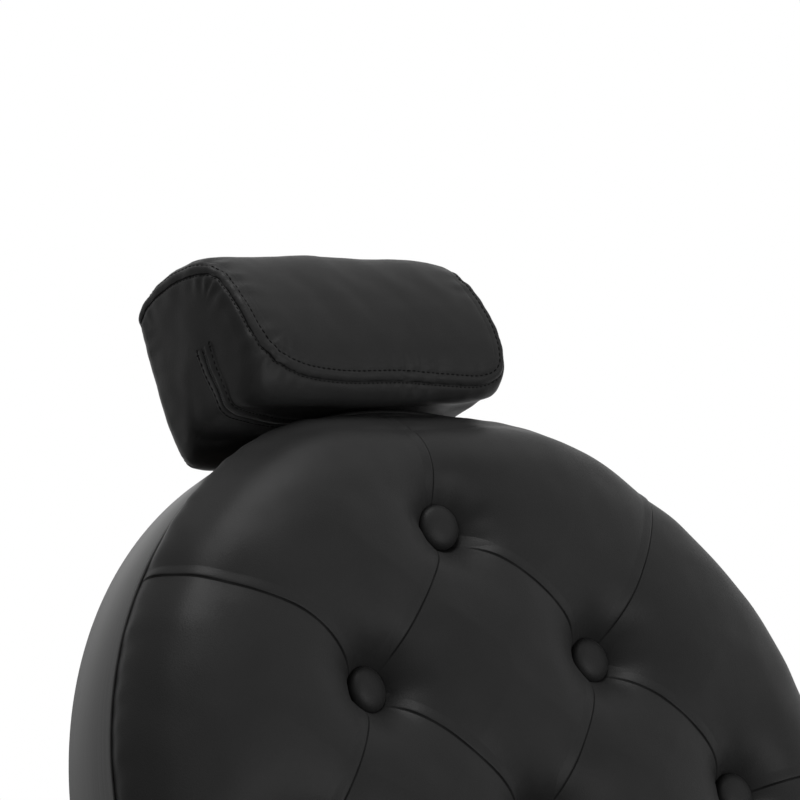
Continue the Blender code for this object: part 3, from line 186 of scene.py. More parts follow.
@dataclass(frozen=True)
class Leatherette(Finish):
    """Black coated upholstery cloth with a fine pebbled grain."""

    tone: float = 0.0125
    specular: float = 0.066
    grain: float = 950.0

    def paint(self, graph: Graph, shader: bpy.types.Node) -> None:
        """Wires grain, soft variation of gloss, and painted shade in creases, seam grooves and under fold lips."""
        place = graph.add("ShaderNodeTexCoord").outputs["Object"]
        cells = graph.add(
            "ShaderNodeTexVoronoi", {"Vector": place, "Scale": self.grain}, feature="SMOOTH_F1"
        ).outputs["Distance"]
        fine = self.noise(graph, place, 3200.0)
        wide = self.noise(graph, place, 17.0, 3.0)
        height = graph.math("MULTIPLY_ADD", cells, 0.7)
        graph.tree.links.new(fine, height.node.inputs[2])
        self.bump(graph, shader, height, 0.00016, 0.55)
        # Painted shade: the per-vertex attribute read here darkens the base colour to near black in creases, seam
        # grooves and under the fold lips, and raises the roughness there.
        crease = graph.add("ShaderNodeAttribute", attribute_name="crease").outputs["Fac"]
        skin = graph.blend(wide, grey(self.tone * 0.80), grey(self.tone * 1.25))
        skin = graph.blend(crease, skin, grey(self.tone * 0.12))
        graph.tree.links.new(skin, shader.inputs["Base Color"])
        gloss = graph.math("MULTIPLY_ADD", crease, 0.35)
        graph.tree.links.new(graph.range(wide, self.rough - 0.07, self.rough + 0.07), gloss.node.inputs[2])
        graph.tree.links.new(gloss, shader.inputs["Roughness"])
        shader.inputs["Specular IOR Level"].default_value = self.specular


@dataclass(frozen=True)
class BrushedMetal(Finish):
    """Metal brushed in fine lines along the piece's own length."""

    tone: float = 0.17
    along: tuple[float, float, float] = (3.0, 900.0, 900.0)
    mapped: bool = False

    def paint(self, graph: Graph, shader: bpy.types.Node) -> None:
        """Wires brush lines into colour, roughness and bump."""
        coords = graph.add("ShaderNodeTexCoord").outputs["UV" if self.mapped else "Object"]
        place = graph.add("ShaderNodeMapping", {"Vector": coords, "Scale": self.along}).outputs[0]
        lines = self.noise(graph, place, 1.0, 4.0)
        wide = self.noise(graph, coords, 9.0, 2.0)
        colour = graph.blend(lines, grey(self.tone * 0.42), grey(self.tone * 1.58))
        graph.tree.links.new(colour, shader.inputs["Base Color"])
        rough = graph.math("MULTIPLY_ADD", lines, 0.22)
        graph.tree.links.new(graph.range(wide, self.rough - 0.14, self.rough - 0.06), rough.node.inputs[2])
        graph.tree.links.new(rough, shader.inputs["Roughness"])
        self.bump(graph, shader, lines, 0.00005, 0.5)
        shader.inputs["Metallic"].default_value = 1.0


@dataclass(frozen=True)
class Polished(Finish):
    """Polished chrome with faint spin marks, haze and small wear."""

    tone: float = 0.62
    spin: tuple[float, float, float] = (4.0, 4.0, 420.0)

    def paint(self, graph: Graph, shader: bpy.types.Node) -> None:
        """Wires haze and hairlines into the roughness and bump."""
        coords = graph.add("ShaderNodeTexCoord").outputs["Object"]
        place = graph.add("ShaderNodeMapping", {"Vector": coords, "Scale": self.spin}).outputs[0]
        lines = self.noise(graph, place, 1.0, 3.0)
        haze = self.noise(graph, coords, 22.0, 4.0)
        colour = graph.blend(haze, grey(self.tone * 0.93), grey(self.tone * 1.05))
        graph.tree.links.new(colour, shader.inputs["Base Color"])
        rough = graph.math("MULTIPLY_ADD", lines, 0.06)
        graph.tree.links.new(graph.range(haze, self.rough - 0.04, self.rough + 0.05), rough.node.inputs[2])
        graph.tree.links.new(rough, shader.inputs["Roughness"])
        self.bump(graph, shader, lines, 0.00002, 0.3)
        shader.inputs["Metallic"].default_value = 1.0


@dataclass(frozen=True)
class Coated(Finish):
    """Painted, moulded or cast surface with a fine even texture."""

    tone: float = 0.02
    tint: tuple[float, float, float] = (1.0, 1.0, 1.0)
    texture: float = 900.0
    relief: float = 0.00012
    metal: float = 0.0
    specular: float = 0.5

    def paint(self, graph: Graph, shader: bpy.types.Node) -> None:
        """Wires speckle, gentle patches and orange-peel bump."""
        place = graph.add("ShaderNodeTexCoord").outputs["Object"]
        peel = self.noise(graph, place, self.texture, 3.0)
        wide = self.noise(graph, place, 14.0, 4.0)
        low = tuple(self.tone * 0.82 * c for c in self.tint) + (1.0,)
        high = tuple(self.tone * 1.2 * c for c in self.tint) + (1.0,)
        graph.tree.links.new(graph.blend(wide, low, high), shader.inputs["Base Color"])
        rough = graph.math("MULTIPLY_ADD", peel, 0.14)
        graph.tree.links.new(graph.range(wide, self.rough - 0.12, self.rough - 0.02), rough.node.inputs[2])
        graph.tree.links.new(rough, shader.inputs["Roughness"])
        self.bump(graph, shader, peel, self.relief, 0.6)
        shader.inputs["Metallic"].default_value = self.metal
        shader.inputs["Specular IOR Level"].default_value = self.specular


@dataclass(frozen=True)
class Plywood(Finish):
    """Pale plywood with stained grain along its length."""

    def paint(self, graph: Graph, shader: bpy.types.Node) -> None:
        """Wires stretched grain into colour, roughness and bump."""
        coords = graph.add("ShaderNodeTexCoord").outputs["Object"]
        place = graph.add("ShaderNodeMapping", {"Vector": coords, "Scale": (9.0, 160.0, 220.0)}).outputs[0]
        lines = self.noise(graph, place, 1.0, 5.0)
        colour = graph.blend(lines, (0.20, 0.115, 0.055, 1.0), (0.46, 0.31, 0.17, 1.0))
        graph.tree.links.new(colour, shader.inputs["Base Color"])
        graph.tree.links.new(graph.range(lines, self.rough, self.rough + 0.2), shader.inputs["Roughness"])
        self.bump(graph, shader, lines, 0.0002, 0.5)


LEATHER = Leatherette("black_leatherette_cover", Slot.LEATHERETTE, 0.42)
THREAD = Coated("black_sewing_thread", Slot.LEATHERETTE, 0.70, 0.0028, texture=2600.0, specular=0.05)
ZIP_TAPE = Coated("black_zip_tape", Slot.LEATHERETTE, 0.72, 0.009, texture=1800.0, relief=0.0003, specular=0.25)
ZIP_COIL = Coated("black_zip_coil", Slot.PLASTIC, 0.38, 0.012, texture=1500.0)
RIM = BrushedMetal("brushed_dark_rim", Slot.RIM, 0.42, 0.049, (1.6, 1500.0, 1.0), True)
CHROME = Polished("polished_chrome", Slot.CHROME, 0.10)
STEEL = Coated("black_coated_steel", Slot.STEEL, 0.46, 0.020, texture=1300.0, relief=0.00015)
CAST = Coated("cast_aluminium", Slot.ALUMINIUM, 0.46, 0.42, texture=700.0, relief=0.0002, metal=1.0)
RUBBER = Coated("black_rubber", Slot.RUBBER, 0.78, 0.018, texture=800.0, relief=0.0003, specular=0.3)
PLY = Plywood("stained_plywood", Slot.PLYWOOD, 0.52)
BRONZE = Coated("turned_bronze", Slot.BRONZE, 0.36, 0.42, (1.0, 0.66, 0.34), 600.0, 0.00008, 1.0)
PLASTIC = Coated("black_moulded_plastic", Slot.PLASTIC, 0.44, 0.016, texture=1600.0, relief=0.0001)


def mesh_object(name: str, points: Any, faces: Any, finish: Optional[Finish] = None) -> bpy.types.Object:
    """Makes a smooth-shaded mesh object at the origin.

    Args:
        name: name of the piece.
        points: vertex places in metres.
        faces: vertex numbers of each face.
        finish: finish of the piece, if it has one already.

    Returns:
        The linked object.
    """
    mesh = bpy.data.meshes.new(name)
    mesh.from_pydata(np.asarray(points, float).tolist(), [], [tuple(int(i) for i in f) for f in faces])
    mesh.validate()
    mesh.polygons.foreach_set("use_smooth", [True] * len(mesh.polygons))
    made = bpy.data.objects.new(name, mesh)
    bpy.context.scene.collection.objects.link(made)
    if finish:
        mesh.materials.append(finish.material())
    return made


def outward(made: bpy.types.Object) -> bpy.types.Object:
    """Merges doubles and turns all faces outwards.

    Args:
        made: closed mesh object.

    Returns:
        The same object.
    """
    work = bmesh.new()
    work.from_mesh(made.data)
    bmesh.ops.remove_doubles(work, verts=work.verts, dist=1e-6)
    bmesh.ops.recalc_face_normals(work, faces=work.faces)
    work.to_mesh(made.data)
    work.free()
    return made


def coords_of(made: bpy.types.Object) -> np.ndarray:
    """Returns the vertex places of a mesh object as an array."""
    data = np.empty(len(made.data.vertices) * 3)
    made.data.vertices.foreach_get("co", data)
    return data.reshape(-1, 3)


def set_coords(made: bpy.types.Object, points: np.ndarray) -> None:
    """Writes vertex places back to a mesh object."""
    made.data.vertices.foreach_set("co", np.ascontiguousarray(points, dtype=np.float32).ravel())
    made.data.update()


def normals_of(made: bpy.types.Object) -> np.ndarray:
    """Returns the vertex normals of a mesh object as an array."""
    data = np.empty(len(made.data.vertices) * 3)
    made.data.vertices.foreach_get("normal", data)
    return data.reshape(-1, 3)


def set_attribute(made: bpy.types.Object, name: str, values: np.ndarray) -> None:
    """Stores one number for each vertex under a name."""
    layer = made.data.attributes.get(name) or made.data.attributes.new(name, "FLOAT", "POINT")
    layer.data.foreach_set("value", np.ascontiguousarray(values, dtype=np.float32))


def drop(made: bpy.types.Object) -> None:
    """Deletes a helper object and its mesh."""
    mesh = made.data
    bpy.data.objects.remove(made)
    bpy.data.meshes.remove(mesh)


def applied(made: bpy.types.Object) -> bpy.types.Object:
    """Turns an object's modifiers into plain mesh and removes them.

    Args:
        made: mesh object with live modifiers.

    Returns:
        The same object with a plain mesh.
    """
    graph = bpy.context.evaluated_depsgraph_get()
    mesh = bpy.data.meshes.new_from_object(made.evaluated_get(graph))
    old = made.data
    made.modifiers.clear()
    made.data = mesh
    mesh.name = made.name
    bpy.data.meshes.remove(old)
    return made


def smooth_run(points: Sequence[Sequence[float]], step: float, closed: bool = False) -> np.ndarray:
    """Runs an even Catmull-Rom curve through points.

    Args:
        points: guide points in any number of dimensions.
        step: spacing of the result in metres.
        closed: True for a loop.

    Returns:
        Evenly spaced points; a loop doesn't repeat its first point.
    """
    guide = np.asarray(points, float)
    count = len(guide)
    if closed:
        padded = np.vstack([guide[-1], guide, guide[0], guide[1]])
        spans = count
    else:
        padded = np.vstack([2 * guide[0] - guide[1], guide, 2 * guide[-1] - guide[-2]])
        spans = count - 1
    share = np.linspace(0.0, 1.0, 24, endpoint=False)[:, None]
    parts = []
    for i in range(spans):
        a, b, c, d = padded[i : i + 4]
        parts.append(
            0.5
            * (
                2 * b
                + (c - a) * share
                + (2 * a - 5 * b + 4 * c - d) * share**2
                + (3 * b - a - 3 * c + d) * share**3
            )
        )
    dense = np.vstack(parts + [padded[spans + 1][None]])
    reach = np.concatenate([[0.0], np.cumsum(np.linalg.norm(np.diff(dense, axis=0), axis=1))])
    steps = max(2, round(reach[-1] / step))
    marks = np.linspace(0.0, reach[-1], steps + 1)
    even = np.stack([np.interp(marks, reach, dense[:, k]) for k in range(dense.shape[1])], axis=1)
    return even[:-1] if closed else even


def ripple(points: np.ndarray, length: float, seed: float) -> np.ndarray:
    """Gentle uneven waves for cloth that was stretched by hand.

    Args:
        points: places in metres.
        length: rough length of one wave.
        seed: shifts the waves.

    Returns:
        Values of about -1 to 1.
    """
    k = 2.0 * math.pi / length
    x, y, z = points[:, 0] * k, points[:, 1] * k, points[:, 2] * k
    total = np.sin(x + 1.7 * np.sin(0.7 * y + seed) + seed)
    total += np.sin(1.13 * y + 1.3 * np.sin(0.8 * z + 2.1 * seed) + 2.0 * seed)
    total += np.sin(0.93 * z + 1.5 * np.sin(0.9 * x + 1.4 * seed) + 3.0 * seed)
    return total / 3.0


class Seam:
    """A sewn line that lies on a cushion's surface."""

    def __init__(self, made: bpy.types.Object, guide: Any, closed: bool = False, step: float = 0.0012) -> None:
        """Lays the guide on the surface.

        Args:
            made: cushion that carries the seam.
            guide: guide points near the surface.
            closed: True for a loop.
            step: spacing of the seam's points.
        """
        self.closed = closed
        tree = skin_of(made)
        self.points = self.laid(tree, smooth_run(guide, step, closed))
        self.points = self.laid(tree, self.eased(self.points, 6))
        hits = [tree.find_nearest(Vector(p)) for p in self.points]
        self.lift = self.eased(np.array([tuple(h[1]) for h in hits]), 8)
        self.lift /= np.linalg.norm(self.lift, axis=1)[:, None]
        ahead = np.roll(self.points, -1, axis=0) - np.roll(self.points, 1, axis=0)
        if not closed:
            ahead[0], ahead[-1] = self.points[1] - self.points[0], self.points[-1] - self.points[-2]
        self.ahead = ahead / np.linalg.norm(ahead, axis=1)[:, None]
        self.side = np.cross(self.lift, self.ahead)
        gaps = np.linalg.norm(np.diff(self.points, axis=0), axis=1)
        self.reach = np.concatenate([[0.0], np.cumsum(gaps)])

    @staticmethod
    def laid(tree: BVHTree, points: np.ndarray) -> np.ndarray:
        """Returns the points moved to the nearest place on the surface."""
        return np.array([tuple(tree.find_nearest(Vector(p))[0]) for p in points])

    def eased(self, values: np.ndarray, rounds: int) -> np.ndarray:
        """Returns the values evened out along the line."""
        work = values.copy()
        for _ in range(rounds):
            mid = (np.roll(work, 1, axis=0) + 2 * work + np.roll(work, -1, axis=0)) / 4
            if not self.closed:
                mid[0], mid[-1] = work[0], work[-1]
            work = mid
        return work

    def across(self, points: np.ndarray, reach: float) -> tuple[np.ndarray, np.ndarray, np.ndarray]:
        """Measures places against the seam.

        Args:
            points: places in metres.
            reach: how far from the seam to look.

        Returns:
            Signed distance to the seam's left, distance along it, and True where a place is in reach.
        """
        tree = KDTree(len(self.points))
        for i, p in enumerate(self.points):
            tree.insert(p, i)
        tree.balance()
        low, high = self.points.min(axis=0) - reach, self.points.max(axis=0) + reach
        near = np.all((points > low) & (points < high), axis=1)
        away = np.full(len(points), 1.0)
        run = np.zeros(len(points))
        for k in np.nonzero(near)[0]:
            _, i, gap = tree.find(points[k])
            if gap > reach:
                continue
            off = points[k] - self.points[i]
            flat = off - self.lift[i] * np.dot(off, self.lift[i])
            size = float(np.linalg.norm(flat))
            away[k] = size if np.dot(flat, self.side[i]) >= 0 else -size
            run[k] = self.reach[i]
        return away, run, np.abs(away) < 1.0

    def shifted(self, skin: BVHTree, offset: float, rise: float = 0.0) -> "SewnPath":
        """Returns a path on the skin beside the seam, for a row of stitches.

        Args:
            skin: the cushion's finished surface.
            offset: distance to the seam's left.
            rise: height above the skin.

        Returns:
            The path.
        """
        hits = [skin.find_nearest(Vector(p)) for p in self.points + self.side * offset]
        lift = self.eased(np.array([tuple(h[1]) for h in hits]), 4)
        lift /= np.linalg.norm(lift, axis=1)[:, None]
        return SewnPath(np.array([tuple(h[0]) for h in hits]) + lift * rise, lift, self.closed)

    def ribbon(self, name: str, skin: BVHTree, lap: Sequence, finish: "Finish", side: float, wave: Any = 0.0) -> Any:
        """Lays a thin folded strip along the seam.

        Args:
            name: name of the piece.
            skin: the cushion's finished surface.
            lap: distance across and height of each corner of the strip.
            finish: its finish.
            side: 1 if the strip lies to the seam's left, -1 if to its right.
            wave: share by which its height varies along the seam.

        Returns:
            The strip as a closed piece.
        """
        count, rows = len(self.points), len(lap)
        uneven = 1.0 + wave * (np.sin(self.reach * 410.0 + 1.9 * np.sin(self.reach * 63.0)))
        uneven += 0.6 * wave * np.sin(self.reach * 171.0 + 2.4 * np.sin(self.reach * 29.0))
        points, faces = [], []
        for across, height in lap:
            path = self.shifted(skin, across * side)
            rise = height * uneven if height > 0 else np.full(count, height)
            points += list(path.points + path.lift * rise[:, None])
        last = count if self.closed else count - 1
        for i in range(rows):
            j = (i + 1) % rows
            for k in range(last):
                n = (k + 1) % count
                faces.append((i * count + k, i * count + n, j * count + n, j * count + k))
        if not self.closed:
            faces += [tuple(i * count + k for i in range(rows)) for k in (0, count - 1)]
        made = outward(mesh_object(name, points, faces, finish))
        edge_split(made, 62.0)
        return made


def skin_of(made: bpy.types.Object) -> BVHTree:
    """Returns a piece's surface for laying things on it."""
    return BVHTree.FromPolygons([v.co for v in made.data.vertices], [tuple(p.vertices) for p in made.data.polygons])


@dataclass
class SewnPath:
    """Run of points with the direction away from the surface at each."""

    points: np.ndarray
    lift: np.ndarray
    closed: bool = False

    def mesh(self, name: str) -> bpy.types.Object:
        """Returns the path as a mesh of edges that holds the lift directions."""
        mesh = bpy.data.meshes.new(name)
        count = len(self.points)
        edges = [(i, i + 1) for i in range(count - 1)] + ([(count - 1, 0)] if self.closed else [])
        mesh.from_pydata(self.points.tolist(), edges, [])
        layer = mesh.attributes.new("lift", "FLOAT_VECTOR", "POINT")
        layer.data.foreach_set("vector", np.ascontiguousarray(self.lift, dtype=np.float32).ravel())
        made = bpy.data.objects.new(name, mesh)
        bpy.context.scene.collection.objects.link(made)
        return made


class Row(Enum):
    """How copies of a small shape are set out."""

    ALONG = "along_a_path"
    AT_POINTS = "at_points"


class Repeats:
    """Geometry Nodes trees that set copies of one small shape."""

    def __init__(self, kind: Row) -> None:
        """Builds the tree of that kind.

        Args:
            kind: along a path at a pitch, or one at each point.
        """
        self.kind = kind
        self.tree = bpy.data.node_groups.new("repeat_" + kind.value, "GeometryNodeTree")
        face = self.tree.interface
        face.new_socket("Path", in_out="INPUT", socket_type="NodeSocketGeometry")
        self.shape = face.new_socket("Shape", in_out="INPUT", socket_type="NodeSocketObject").identifier
        self.pitch = face.new_socket("Pitch", in_out="INPUT", socket_type="NodeSocketFloat").identifier
        self.paint = face.new_socket("Finish", in_out="INPUT", socket_type="NodeSocketMaterial").identifier
        face.new_socket("Copies", in_out="OUTPUT", socket_type="NodeSocketGeometry")
        graph = Graph(self.tree)
        given = graph.add("NodeGroupInput").outputs
        lift = graph.add("GeometryNodeInputNamedAttribute", {0: "lift"}, data_type="FLOAT_VECTOR").outputs[0]
        if kind is Row.ALONG:
            curve = graph.add("GeometryNodeMeshToCurve", {0: given["Path"]}).outputs[0]
            even = graph.add("GeometryNodeResampleCurve", {"Curve": curve, "Length": given["Pitch"]}, mode="LENGTH")
            places = even.outputs[0]
            ahead = graph.add("GeometryNodeInputTangent").outputs[0]
            turn = graph.add("FunctionNodeAlignRotationToVector", {"Vector": ahead}, axis="X").outputs[0]
            turn = graph.add(
                "FunctionNodeAlignRotationToVector", {"Rotation": turn, "Vector": lift}, axis="Z", pivot_axis="X"
            ).outputs[0]
        else:
            places = given["Path"]
            turn = graph.add("FunctionNodeAlignRotationToVector", {"Vector": lift}, axis="Z").outputs[0]
        shape = graph.add("GeometryNodeObjectInfo", {0: given["Shape"]}).outputs["Geometry"]
        copies = graph.add("GeometryNodeInstanceOnPoints", {"Points": places, "Instance": shape, "Rotation": turn})
        real = graph.add("GeometryNodeRealizeInstances", {0: copies.outputs[0]}).outputs[0]
        done = graph.add("GeometryNodeSetMaterial", {"Geometry": real, "Material": given["Finish"]}).outputs[0]
        graph.add("NodeGroupOutput", {0: done})

    def set_out(self, name: str, path: SewnPath, shape: bpy.types.Object, finish: Finish, pitch: float = 0.0) -> Any:
        """Makes one piece of copies of a shape.

        Args:
            name: name of the piece.
            path: where the copies go.
            shape: small shape along X with Z away from the surface.
            finish: finish of the copies.
            pitch: spacing along a path.

        Returns:
            The plain mesh object.
        """
        made = path.mesh(name)
        modifier = made.modifiers.new("copies", "NODES")
        modifier.node_group = self.tree
        modifier[self.shape] = shape
        modifier[self.pitch] = pitch
        modifier[self.paint] = finish.material()
        applied(made)
        return made


def capsule(name: str, length: float, width: float, height: float) -> bpy.types.Object:
    """Makes a small stitch: a round bar along X whose ends dip into the cloth.

    Args:
        name: name of the shape.
        length: length in metres.
        width: width in metres.
        height: height above the cloth.

    Returns:
        The shape at the origin.
    """
    rings, sides = 5, 6
    points, faces = [], []
    for i in range(rings):
        t = i / (rings - 1) * 2.0 - 1.0
        size = math.sqrt(max(0.0, 1.0 - 0.72 * t * t))
        for k in range(sides):
            a = 2.0 * math.pi * k / sides
            points.append(
                (t * length / 2, math.cos(a) * width / 2 * size, math.sin(a) * height * size - 0.6 * height * t * t)
            )
    for i in range(rings - 1):
        for k in range(sides):
            n = (k + 1) % sides
            faces.append((i * sides + k, (i + 1) * sides + k, (i + 1) * sides + n, i * sides + n))
    faces += [tuple(range(sides)), tuple(range((rings - 1) * sides, rings * sides))[::-1]]
    return outward(mesh_object(name, points, faces))


def lathe(name: str, profile: Sequence[Sequence[float]], finish: Finish, sides: int = 128) -> bpy.types.Object:
    """Turns a closed profile about the Z axis.

    Args:
        name: name of the piece.
        profile: radius and height of each corner, as a closed run.
        finish: finish of the piece.
        sides: steps round the axis.

    Returns:
        The turned piece.
    """
    angle = np.linspace(0.0, 2.0 * math.pi, sides, endpoint=False)
    points = [(r * math.cos(a), r * math.sin(a), z) for r, z in profile for a in angle]
    rows = len(profile)
    faces = []
    for i in range(rows):
        j = (i + 1) % rows
        if profile[i][0] < 1e-9 and profile[j][0] < 1e-9:
            continue
        for k in range(sides):
            n = (k + 1) % sides
            faces.append((i * sides + k, i * sides + n, j * sides + n, j * sides + k))
    made = outward(mesh_object(name, points, faces, finish))
    edge_split(made, 34.0)
    return made


def edge_split(made: bpy.types.Object, degrees: float) -> None:
    """Marks edges sharper than an angle so that shading breaks there."""
    work = bmesh.new()
    work.from_mesh(made.data)
    limit = math.radians(degrees)
    for edge in work.edges:
        edge.smooth = len(edge.link_faces) == 2 and edge.calc_face_angle(0.0) < limit
    work.to_mesh(made.data)
    work.free()


def mapped_turn(made: bpy.types.Object, radius: float) -> None:
    """Gives a piece turned about Z a map in metres: round the turn, and along its profile."""
    layer = made.data.uv_layers.new(name="UVMap")
    points = coords_of(made)
    for face in made.data.polygons:
        middle = math.atan2(face.center.y, face.center.x)
        for loop in face.loop_indices:
            x, y, z = points[made.data.loops[loop].vertex_index]
            turn = math.atan2(y, x) - middle
            turn = (turn + math.pi) % (2.0 * math.pi) - math.pi
            layer.data[loop].uv = ((middle + turn) * radius, z - math.hypot(x, y))


def set_in(made: bpy.types.Object, origin: np.ndarray, x: np.ndarray, y: np.ndarray, z: np.ndarray) -> None:
    """Moves a mesh from its own axes into a frame of the chair."""
    local = coords_of(made)
    set_coords(made, origin + local[:, :1] * x + local[:, 1:2] * y + local[:, 2:3] * z)


def oval(half_x: float, half_y: float, power: float, count: int) -> np.ndarray:
    """Returns a rounded rectangle as evenly spaced points in a plane."""
    angle = np.linspace(0.0, 2.0 * math.pi, 720, endpoint=False)
    c, s = np.cos(angle), np.sin(angle)
    size = (np.abs(c / half_x) ** power + np.abs(s / half_y) ** power) ** (-1.0 / power)
    dense = np.stack([size * c, size * s], axis=1)
    loop = np.vstack([dense, dense[:1]])
    reach = np.concatenate([[0.0], np.cumsum(np.linalg.norm(np.diff(loop, axis=0), axis=1))])
    marks = np.linspace(0.0, reach[-1], count, endpoint=False)
    return np.stack([np.interp(marks, reach, loop[:, k]) for k in range(2)], axis=1)


def loft(name: str, rings: Sequence[np.ndarray]) -> bpy.types.Object:
    """Joins rings of equal count into a closed skin with a point at each end.

    Args:
        name: name of the object.
        rings: rings of places in metres.

    Returns:
        The closed mesh object.
    """
    count = len(rings[0])
    points = [np.mean(rings[0], axis=0)] + [p for ring in rings for p in ring] + [np.mean(rings[-1], axis=0)]
    faces = []
    for k in range(count):
        n = (k + 1) % count
        faces.append((0, 1 + n, 1 + k))
        for i in range(len(rings) - 1):
            a, b = 1 + i * count, 1 + (i + 1) * count
            faces.append((a + k, a + n, b + n, b + k))
        last = 1 + (len(rings) - 1) * count
        faces.append((last + k, last + n, len(points) - 1))
    return outward(mesh_object(name, points, faces))


@dataclass
class Padding:
    """How a stuffed piece is filled: even mesh, swelling under pressure, then rounding."""

    voxel: float = 0.005
    rounds: int = 6
    pressure: float = 4.0
    cap: float = 0.0

    def fill(self, made: bpy.types.Object, held: Optional[np.ndarray] = None) -> bpy.types.Object:
        """Remeshes, swells and smooths a closed skin.

        Args:
            made: closed mesh object, changed in place.
            held: point and direction; cloth behind that plane stays put.

        Returns:
            The same object with a plain, even mesh.
        """
        remesh = made.modifiers.new("even", "REMESH")
        remesh.mode = "VOXEL"
        remesh.voxel_size = self.voxel
        ease = made.modifiers.new("ease", "SMOOTH")
        ease.iterations = self.rounds
        applied(made)
        if self.cap > 0.0:
            self.swell(made, held)
        finer = made.modifiers.new("finer", "SUBSURF")
        finer.levels = finer.render_levels = 1
        applied(made)
        made.data.polygons.foreach_set("use_smooth", [True] * len(made.data.polygons))
        return made

    def swell(self, made: bpy.types.Object, held: Optional[np.ndarray]) -> None:
        """Runs the cloth under pressure and keeps its movement within the cap."""
        rest = coords_of(made)
        cloth = made.modifiers.new("cloth", "CLOTH")
        cloth.settings.use_pressure = True
        cloth.settings.uniform_pressure_force = self.pressure
        cloth.settings.effector_weights.gravity = 0.0
        cloth.settings.quality = 5
        cloth.point_cache.frame_start, cloth.point_cache.frame_end = 1, 20
        scene = bpy.context.scene
        for step in range(1, 21):
            scene.frame_set(step)
        applied(made)
        scene.frame_set(1)
        move = coords_of(made) - rest
        move -= np.median(move, axis=0)
        size = np.linalg.norm(move, axis=1, keepdims=True)
        move *= np.minimum(1.0, self.cap / np.maximum(size, 1e-9))
        if held is not None:
            ahead = (rest - held[0]) @ held[1]
            move *= np.clip(ahead / 0.02, 0.0, 1.0)[:, None]
        set_coords(made, rest + move)


@dataclass
class Welt:
    """A topstitched welt: seam groove, folded strip beside it and a row of stitches."""

    strip: float = 0.0064
    depth: float = 0.0012
    rise: float = 0.0011
    pucker: float = 0.00035
    wave: float = 0.014
    pitch: float = 0.0034
    gathers: tuple = ()

    def gathered(self, points: np.ndarray) -> np.ndarray:
        """Returns how strongly the cover is gathered at each point, from 0 to 1."""
        share = np.zeros(len(points))
        for place, reach in self.gathers:
            share = np.maximum(share, np.exp(-((np.linalg.norm(points - place, axis=1) / reach) ** 2)))
        return share

    def press(self, made: bpy.types.Object, seam: Seam, side: float = 1.0) -> None:
        """Presses the seam and its puckers into a cushion, and paints shade along the seam groove.

        Args:
            made: cushion, changed in place.
            seam: the seam line.
            side: 1 if the strip lies to the seam's left, -1 if to its right.
        """
        points, normals = coords_of(made), normals_of(made)
        away, run, near = seam.across(points, 0.026)
        d = away * side
        move = -self.depth * np.exp(-((d / 0.0022) ** 2))
        move -= 0.5 * self.depth * np.exp(-(((d - self.strip) / 0.0030) ** 2))
        waves = np.sin(2 * math.pi * run / self.wave + 2.1 * np.sin(run * 71.0))
        waves *= 0.25 + 0.75 * np.sin(run * 23.0 + 1.1) ** 2 + 3.0 * self.gathered(points)
        move += self.pucker * waves * np.exp(-(((np.abs(d - 0.5 * self.strip) - 0.008) / 0.007) ** 2))
        move[~near] = 0.0
        set_coords(made, points + normals * move[:, None])
        # Painted shade: the seam groove is marked dark through the per-vertex shade attribute, strongest on the seam
        # line.
        old = np.zeros(len(points), np.float32)
        if made.data.attributes.get("crease"):
            made.data.attributes["crease"].data.foreach_get("value", old)
        crease = np.where(near, np.exp(-((d / 0.0014) ** 2)), 0.0)
        set_attribute(made, "crease", np.maximum(old, crease))

    def lap(self) -> list[tuple[float, float]]:
        """Returns the strip's section: distance across and height of each corner."""
        w, r = self.strip, self.rise
        return [
            (0.0004, -0.0010), (-0.0003, 0.15 * r), (-0.0004, 0.55 * r), (0.0000, 0.88 * r), (0.0008, r),
            (0.38 * w, 1.02 * r), (0.66 * w, 0.93 * r), (0.84 * w, 0.62 * r), (0.95 * w, 0.30 * r), (1.05 * w, 0.27 * r),
            (1.20 * w, 0.46 * r), (1.45 * w, 0.34 * r), (1.9 * w, 0.08 * r), (2.2 * w, -0.0003),
        ]

    def dress(self, name: str, made: bpy.types.Object, seam: Seam, rows: Repeats, side: float = 1.0) -> list:
        """Makes the strip and the row of stitches that holds it down.

        Args:
            name: start of the pieces' names.
            made: the finished cushion.
            seam: the seam line.
            rows: tree that sets copies along a path.
            side: which side the strip lies on.

        Returns:
            The strip and the stitches.
        """
        skin = skin_of(made)
        strip = seam.ribbon(name + "_welt", skin, self.lap(), LEATHER, side, 0.10 + 0.32 * self.gathered(seam.points))
        shape = capsule(name + "_shape", 0.72 * self.pitch, 0.0010, 0.0005)
        path = seam.shifted(skin, side * self.strip, 0.34 * self.rise)
        stitches = rows.set_out(name + "_stitches", path, shape, THREAD, self.pitch)
        drop(shape)
        return [strip, stitches]


